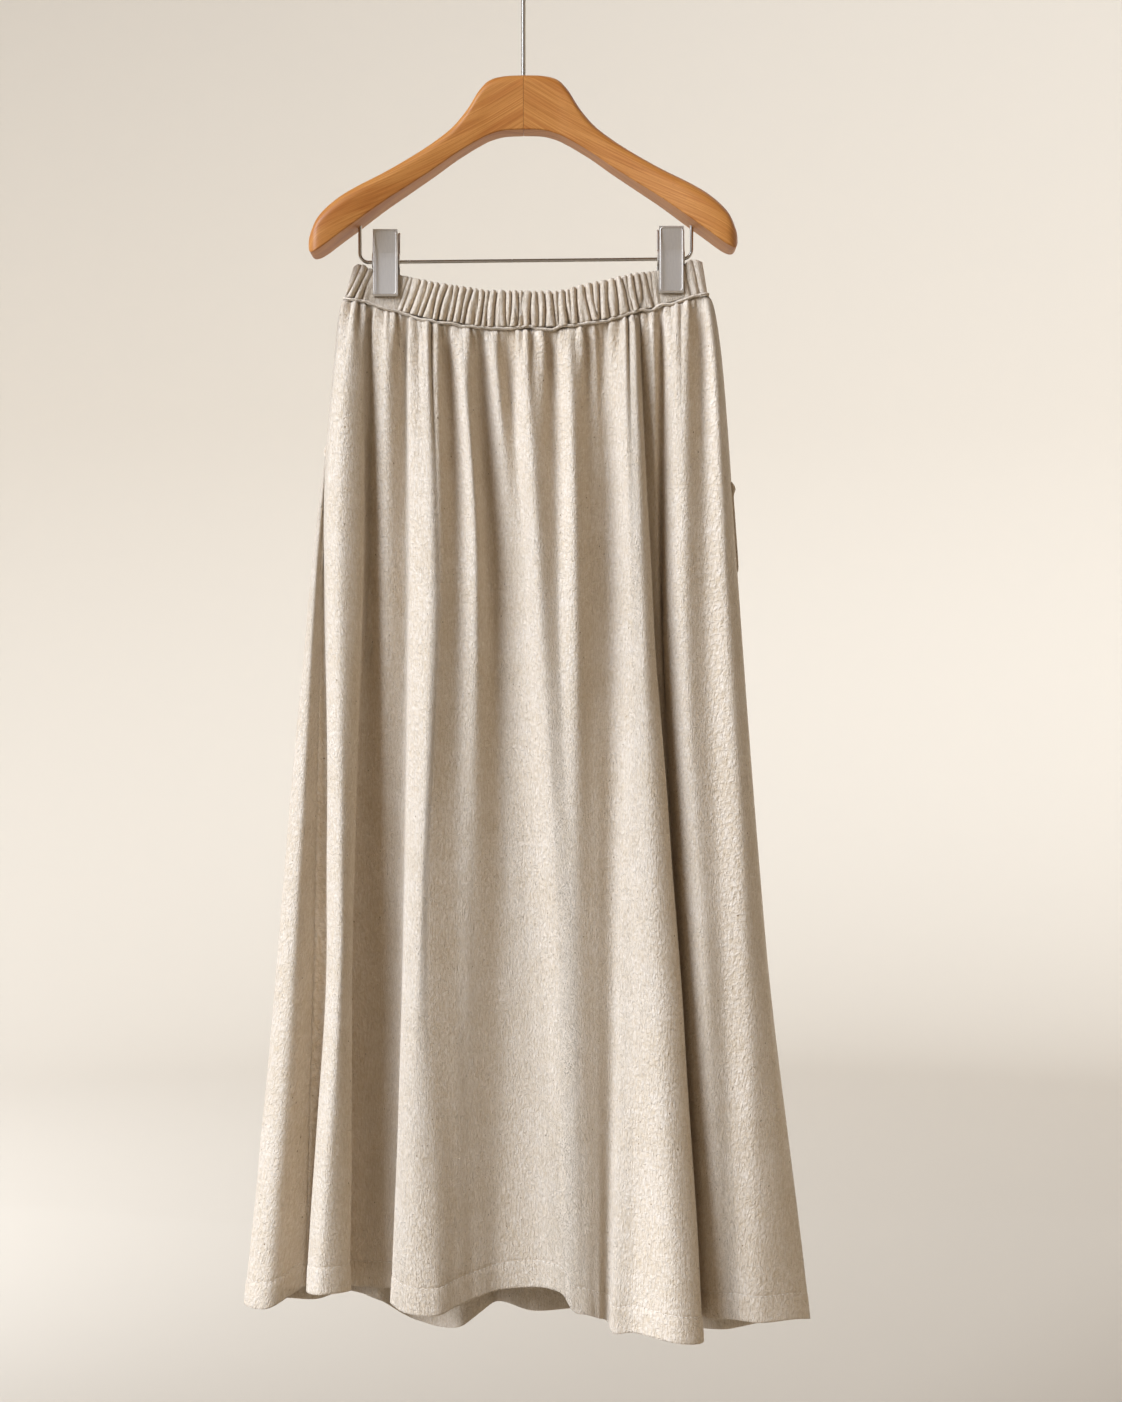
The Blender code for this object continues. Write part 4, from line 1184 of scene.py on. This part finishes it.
def arm_outline(top, bottom, depth):
    """A section: eased lower corners, full round upper corners."""
    height = top - bottom
    soft = min(0.36 * height, 0.34 * depth)
    crisp = min(1.6, 0.2 * height)
    corners = (
        (-depth / 2, bottom, crisp, 180), (depth / 2, bottom, crisp, 270),
        (depth / 2, top, soft, 0), (-depth / 2, top, soft, 90),
    )
    points = []
    for y, z, radius, start in corners:
        centre_y = y - math.copysign(radius, y)
        centre_z = z + (radius if z == bottom else -radius)
        turn = np.radians(np.linspace(start, start + 90, ARM_SIDES // 4))
        points += list(zip(centre_y + radius * np.cos(turn), centre_z + radius * np.sin(turn)))
    return np.array(points)


def make_arm(name, sign, node):
    """One arm, lofted through its sections, with the grain's map along and across it."""
    stations = smooth_columns(ARM_SECTIONS, ARM_STATIONS)
    stations[0, 0] = JOINT_HALF_GAP
    rings = []
    for across, top, bottom, depth in stations:
        outline = arm_outline(top, bottom, max(depth, 2.0))
        y = outline[:, 0] - ARM_FORWARD * (across / ARM_REACH) ** 2
        x = np.full(len(outline), sign * across)
        rings.append(np.stack([x, y, outline[:, 1] + HANGER_TILT * x], axis=-1) * MM)
    rings = np.array(rings)
    count, sides = rings.shape[:2]
    faces = [
        (r * sides + s, r * sides + (s + 1) % sides,
         (r + 1) * sides + (s + 1) % sides, (r + 1) * sides + s)
        for r in range(count - 1) for s in range(sides)
    ]
    faces += [tuple(range(sides))[::-1], tuple((count - 1) * sides + s for s in range(sides))]
    arm = add_piece(name, rings.reshape(-1, 3), faces, wood)
    mesh = arm.data
    along = run_lengths(rings.mean(axis=1))
    layer = mesh.uv_layers.new(name="grain_metres")
    for loop in mesh.loops:
        ring, spot = divmod(loop.vertex_index, sides)
        x, y, z = rings[ring, spot]
        fall = GRAIN_FALL * abs(x)
        layer.data[loop.index].uv = (along[ring] + 0.4 * sign, z + fall + 0.9 * y + 0.31 * sign)
    work = bmesh.new()
    work.from_mesh(mesh)
    bmesh.ops.recalc_face_normals(work, faces=work.faces)
    work.to_mesh(mesh)
    work.free()
    mesh.set_sharp_from_angle(angle=math.radians(50))
    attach(arm, "root")
    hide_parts(node)
    return arm


make_arm("wooden_arm_left", -1, "hanger_arm_left")
make_arm("wooden_arm_right", 1, "hanger_arm_right")
print("arm sections:", ARM_STATIONS)

# %% [markdown]
# ## Nickel-plated wire and satin clips
# The hook and the clip bar are bent from bright nickel-plated rod. The clip plates are
# stamped from steel sheet and left satin, which spreads each highlight into a broad glow.
# Handling wears both unevenly, so one noise varies their colour and roughness together.

# %% Metal materials
wire_metal, wire_tree, wire_shader = new_material(
    "nickel_plated_rod", Metallic=1.0, Roughness=0.24
)
satin_metal, satin_tree, satin_shader = new_material(
    "satin_nickel_sheet", Metallic=1.0, Roughness=0.46
)
for tree, shader, hexes, size in (
    (wire_tree, wire_shader, ("#cdc7be", "#b3aca2"), 3.0 * MM),
    (satin_tree, satin_shader, ("#dcd5ca", "#cbc3b8"), 1.2 * MM),
):
    place = add_node(tree, "ShaderNodeTexCoord").outputs["Object"]
    brushed = add_node(
        tree, "ShaderNodeMapping", {"Vector": place, "Scale": (1 / size, 1 / size, 0.15 / size)}
    ).outputs["Vector"]
    wear = add_node(
        tree, "ShaderNodeTexNoise", {"Vector": brushed, "Scale": 1.0, "Detail": 4.0}
    ).outputs["Fac"]
    tint = add_node(
        tree, "ShaderNodeMix",
        {MIX_SHARE: wear, MIX_FIRST: linear(hexes[0]), MIX_SECOND: linear(hexes[1])},
        data_type="RGBA",
    ).outputs[MIX_RESULT]
    tree.links.new(tint, shader.inputs["Base Color"])
    mean_roughness = shader.inputs["Roughness"].default_value
    rough = add_node(
        tree, "ShaderNodeMapRange",
        {"Value": wear, "To Min": mean_roughness - 0.06, "To Max": mean_roughness + 0.08},
    ).outputs["Result"]
    tree.links.new(rough, shader.inputs["Roughness"])
print("satin sheet has", len(satin_tree.nodes), "nodes")

# %% [markdown]
# ## Ribbed rubber
# The pads inside the jaws are moulded black rubber with fine ribs that grip cloth. Almost
# nothing of them shows, so a wave makes the ribs and a fine noise the dust in them.

# %% Rubber material
RIBS_PER_METRE = 80.0
DUST_PER_METRE = 300.0
rubber, rubber_tree, rubber_shader = new_material("ribbed_black_rubber", Roughness=0.8, IOR=1.52)
rib_place = add_node(rubber_tree, "ShaderNodeTexCoord").outputs["Object"]
ribs = add_node(
    rubber_tree, "ShaderNodeTexWave",
    {"Vector": rib_place, "Scale": RIBS_PER_METRE, "Distortion": 0.0}, bands_direction="Z",
).outputs["Fac"]
rib_bump = add_node(rubber_tree, "ShaderNodeBump", {"Height": ribs, "Distance": 0.3 * MM})
rubber_tree.links.new(rib_bump.outputs["Normal"], rubber_shader.inputs["Normal"])
rubber_dust = add_node(
    rubber_tree, "ShaderNodeTexNoise", {"Vector": rib_place, "Scale": DUST_PER_METRE}
).outputs["Fac"]
rubber_mix = add_node(
    rubber_tree, "ShaderNodeMix",
    {MIX_SHARE: rubber_dust, MIX_FIRST: linear("#24211f"), MIX_SECOND: linear("#38332f")},
    data_type="RGBA",
).outputs[MIX_RESULT]
rubber_tree.links.new(rubber_mix, rubber_shader.inputs["Base Color"])
print("rubber:", len(rubber_tree.nodes), "nodes")

# %% [markdown]
# ## Hook and clip bar
# Both are bent wire, so each is one tube along its centre line: straight runs joined by
# arcs. The hook's tip is rounded off, and the bar turns up into the wood at both ends.

# %% Bent wire
STEM_RADIUS = 2.3 * MM
BAR_RADIUS = 1.75 * MM
BAR_BEND = 9.0 * MM
BAR_LEFT, BAR_RIGHT, BAR_TOP = -312.5 * MM, -309 * MM, -262 * MM  # heights of its centre line
HOOK_CENTRE = -17 * MM  # the middle of the crook, below the rail it hangs on
HOOK_FOOT = -157 * MM


def arc(centre, radius, start, end, steps):
    """Points on an arc in the plane of the hanger, between two angles in degrees."""
    x, z = centre
    angles = np.radians(np.linspace(start, end, steps + 1))
    return [(x + radius * math.cos(a), 0.0, z + radius * math.sin(a)) for a in angles]


def straight(start, end, steps):
    """Points from start towards end, leaving the end itself to the next run."""
    start, end = np.array(start), np.array(end)
    return [tuple(start + (end - start) * s / steps) for s in range(steps)]


crook = STEM_RADIUS - HOOK_CENTRE
neck = 12 * MM
rise = math.sqrt((crook + neck) ** 2 - neck**2)
neck_centre = (neck, HOOK_CENTRE - rise)
turn = math.degrees(math.atan2(rise, neck))
hook_path = straight((0, 0, HOOK_FOOT), (0, 0, neck_centre[1]), 16)
hook_path += arc(neck_centre, neck, 180, 180 - turn, 14)
hook_path += arc((0, HOOK_CENTRE), crook, -turn, 184, 72)[1:]
hook_radius = np.full(len(hook_path), STEM_RADIUS)
hook_radius[-2:] *= (0.93, 0.55)  # rounds the tip
hook = closed_tube("hook_rod", np.array(hook_path), hook_radius, 20, wire_metal, closed=False)
low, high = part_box("clip_bar")
bar_left, bar_right = low[0] + BAR_RADIUS, high[0] - BAR_RADIUS
bar_path = straight((bar_left, 0, BAR_TOP), (bar_left, 0, BAR_LEFT + BAR_BEND), 6)
bar_path += arc((bar_left + BAR_BEND, BAR_LEFT + BAR_BEND), BAR_BEND, 180, 270, 12)
bar_path += arc((bar_right - BAR_BEND, BAR_RIGHT + BAR_BEND), BAR_BEND, 270, 360, 12)
bar_path += straight((bar_right, 0, BAR_RIGHT + BAR_BEND + 1 * MM), (bar_right, 0, BAR_TOP), 6)
bar = closed_tube("clip_bar_rod", np.array(bar_path), BAR_RADIUS, 16, wire_metal, closed=False)
for piece, node in ((hook, "hook"), (bar, "clip_bar")):
    piece.data.set_sharp_from_angle(angle=math.radians(60))
    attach(piece, "root")
    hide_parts(node)
print("hook tip at", [round(v / MM) for v in hook_path[-1]], "mm")

# %% [markdown]
# ## The clips
# Each clip is a pair of stamped channels that pivot on the bar. The CAD plates already have
# the right folds, so they keep their shape and gain satin metal, while the pads and springs
# between them gain rubber and bright wire. Stamping leaves a soft raised edge round each
# front plate. A bevel would change the CAD mesh, so the edge is a thin rounded rim laid on it.

# %% Finishes on the carried-over parts
for side in CLIP_NAMES:
    for suffix, finish in (
        ("front", satin_metal), ("back", satin_metal), ("front_pad", rubber),
        ("back_pad", rubber), ("spring", wire_metal),
    ):
        node = bpy.data.objects[f"clip_{side}_{suffix}"]
        for slot in node.material_slots:
            slot.material = finish
print("finished", 5 * len(CLIP_NAMES), "carried-over parts")

# %% Raised rims of the front plates
RIM_INSET = 1.3 * MM
RIM_RADIUS = 0.6 * MM
RIM_SINK = 0.1 * MM  # how deep the rim's middle is sunk in the plate
CORNER = 3.2 * MM
for side in CLIP_NAMES:
    low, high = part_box(f"clip_{side}_front")
    x0, x1 = low[0] + RIM_INSET, high[0] - RIM_INSET
    z0, z1 = low[2] + RIM_INSET, high[2] - RIM_INSET
    rim_path = []
    for x, z, start in (
        (x1 - CORNER, z1 - CORNER, 0), (x0 + CORNER, z1 - CORNER, 90),
        (x0 + CORNER, z0 + CORNER, 180), (x1 - CORNER, z0 + CORNER, 270),
    ):
        corner = arc((x, z), CORNER, start, start + 90, 8)
        rim_path += [(a, low[1] + RIM_SINK, b) for a, _, b in corner]
    rim = closed_tube(
        f"clip_{side}_rim", np.array(rim_path), RIM_RADIUS, 8, satin_metal, closed=True
    )
    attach(rim, "root")
print("rims", RIM_RADIUS / MM, "mm in radius")

# %% [markdown]
# ## Studio
# A round cove, like a studio's curved backdrop, gives the same pale ground from every side.
# It turns up from the floor in an even bend, so there is no corner behind the skirt.

# %% The cove
FLOOR_LEVEL = -1.85
COVE_RADIUS = 4.4
COVE_BEND = 2.2
COVE_TOP = 3.4
BEND_STEPS = 24
SPOKES = 96
profile = [(COVE_RADIUS, FLOOR_LEVEL)]
profile += [
    (COVE_RADIUS + COVE_BEND * math.sin(a), FLOOR_LEVEL + COVE_BEND * (1 - math.cos(a)))
    for a in np.linspace(0, math.pi / 2, BEND_STEPS + 1)[1:]
]
profile.append((COVE_RADIUS + COVE_BEND, COVE_TOP))
turns = [2 * math.pi * s / SPOKES for s in range(SPOKES)]
points = [(0.0, 0.0, FLOOR_LEVEL)]
points += [(r * math.cos(turn), r * math.sin(turn), z) for r, z in profile for turn in turns]
faces = [(0, 1 + s, 1 + (s + 1) % SPOKES) for s in range(SPOKES)]
for ring in range(len(profile) - 1):
    for s in range(SPOKES):
        a, b = 1 + ring * SPOKES + s, 1 + ring * SPOKES + (s + 1) % SPOKES
        faces.append((a, a + SPOKES, b + SPOKES, b))
plaster, plaster_tree, plaster_shader = new_material("matt_painted_plaster", Roughness=0.95)
plaster_shader.inputs["Base Color"].default_value = linear("#bdb09c")
cove = add_piece("studio_cove", points, faces, plaster)
cove.visible_shadow = False  # so that the key light reaches in from outside
cove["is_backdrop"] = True
print("floor at", FLOOR_LEVEL, "m")

# %% [markdown]
# ## Lights
# The key is a very wide, slightly cool disc, low on the left and in front, like a big
# window. It rolls down each fold's left flank and leaves long soft shade on the right. A
# weak warm sky fills the shade, so that it turns golden rather than grey. A wash behind the
# skirt brightens the left of the cove, and a faint second disc keeps the far side readable.

# %% Window, wash, back fill and sky
DAYLIGHT = linear("#dce9ff")[:3]


def add_light(name, kind, energy, **settings):
    """A lamp of daylight colour in the scene, not yet placed or turned."""
    lamp = bpy.data.lights.new(name, kind)
    lamp.energy = energy
    lamp.color = DAYLIGHT
    for setting, value in settings.items():
        setattr(lamp, setting, value)
    light = bpy.data.objects.new(name, lamp)
    bpy.context.scene.collection.objects.link(light)
    return light


KEY_AZIMUTH, KEY_ELEVATION = math.radians(54), math.radians(26)
WASH_AIM = Vector((-2.9, 6.2, -1.0))
key = add_light("window_key", "SUN", 5.9, angle=math.radians(42))
key.rotation_euler = (math.pi / 2 - KEY_ELEVATION, 0, -KEY_AZIMUTH)
wash = add_light("background_wash", "AREA", 310, size=3.0)
wash.location = (-3.2, 1.2, 0.4)
wash.rotation_euler = (WASH_AIM - wash.location).to_track_quat("-Z", "Y").to_euler()
wash.visible_camera = False
back_fill = add_light("back_fill", "SUN", 0.8, angle=math.radians(60))
back_fill.rotation_euler = (math.radians(62), 0, math.radians(150))
world = bpy.data.worlds.new("pale_sky")
world.use_nodes = True
sky = world.node_tree.nodes["Background"]
sky.inputs["Color"].default_value = linear("#ffdcb0")
sky.inputs["Strength"].default_value = 0.16
bpy.context.scene.world = world
bpy.context.scene.view_settings.view_transform = "Standard"
print("key light", round(math.degrees(KEY_ELEVATION)), "degrees up")

# %% Sizes of the model
size = {"cad": [list(p) for p in CAD_BOX], "visual": [list(p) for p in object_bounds()]}
print("visual box", [[round(v, 3) for v in corner] for corner in size["visual"]])
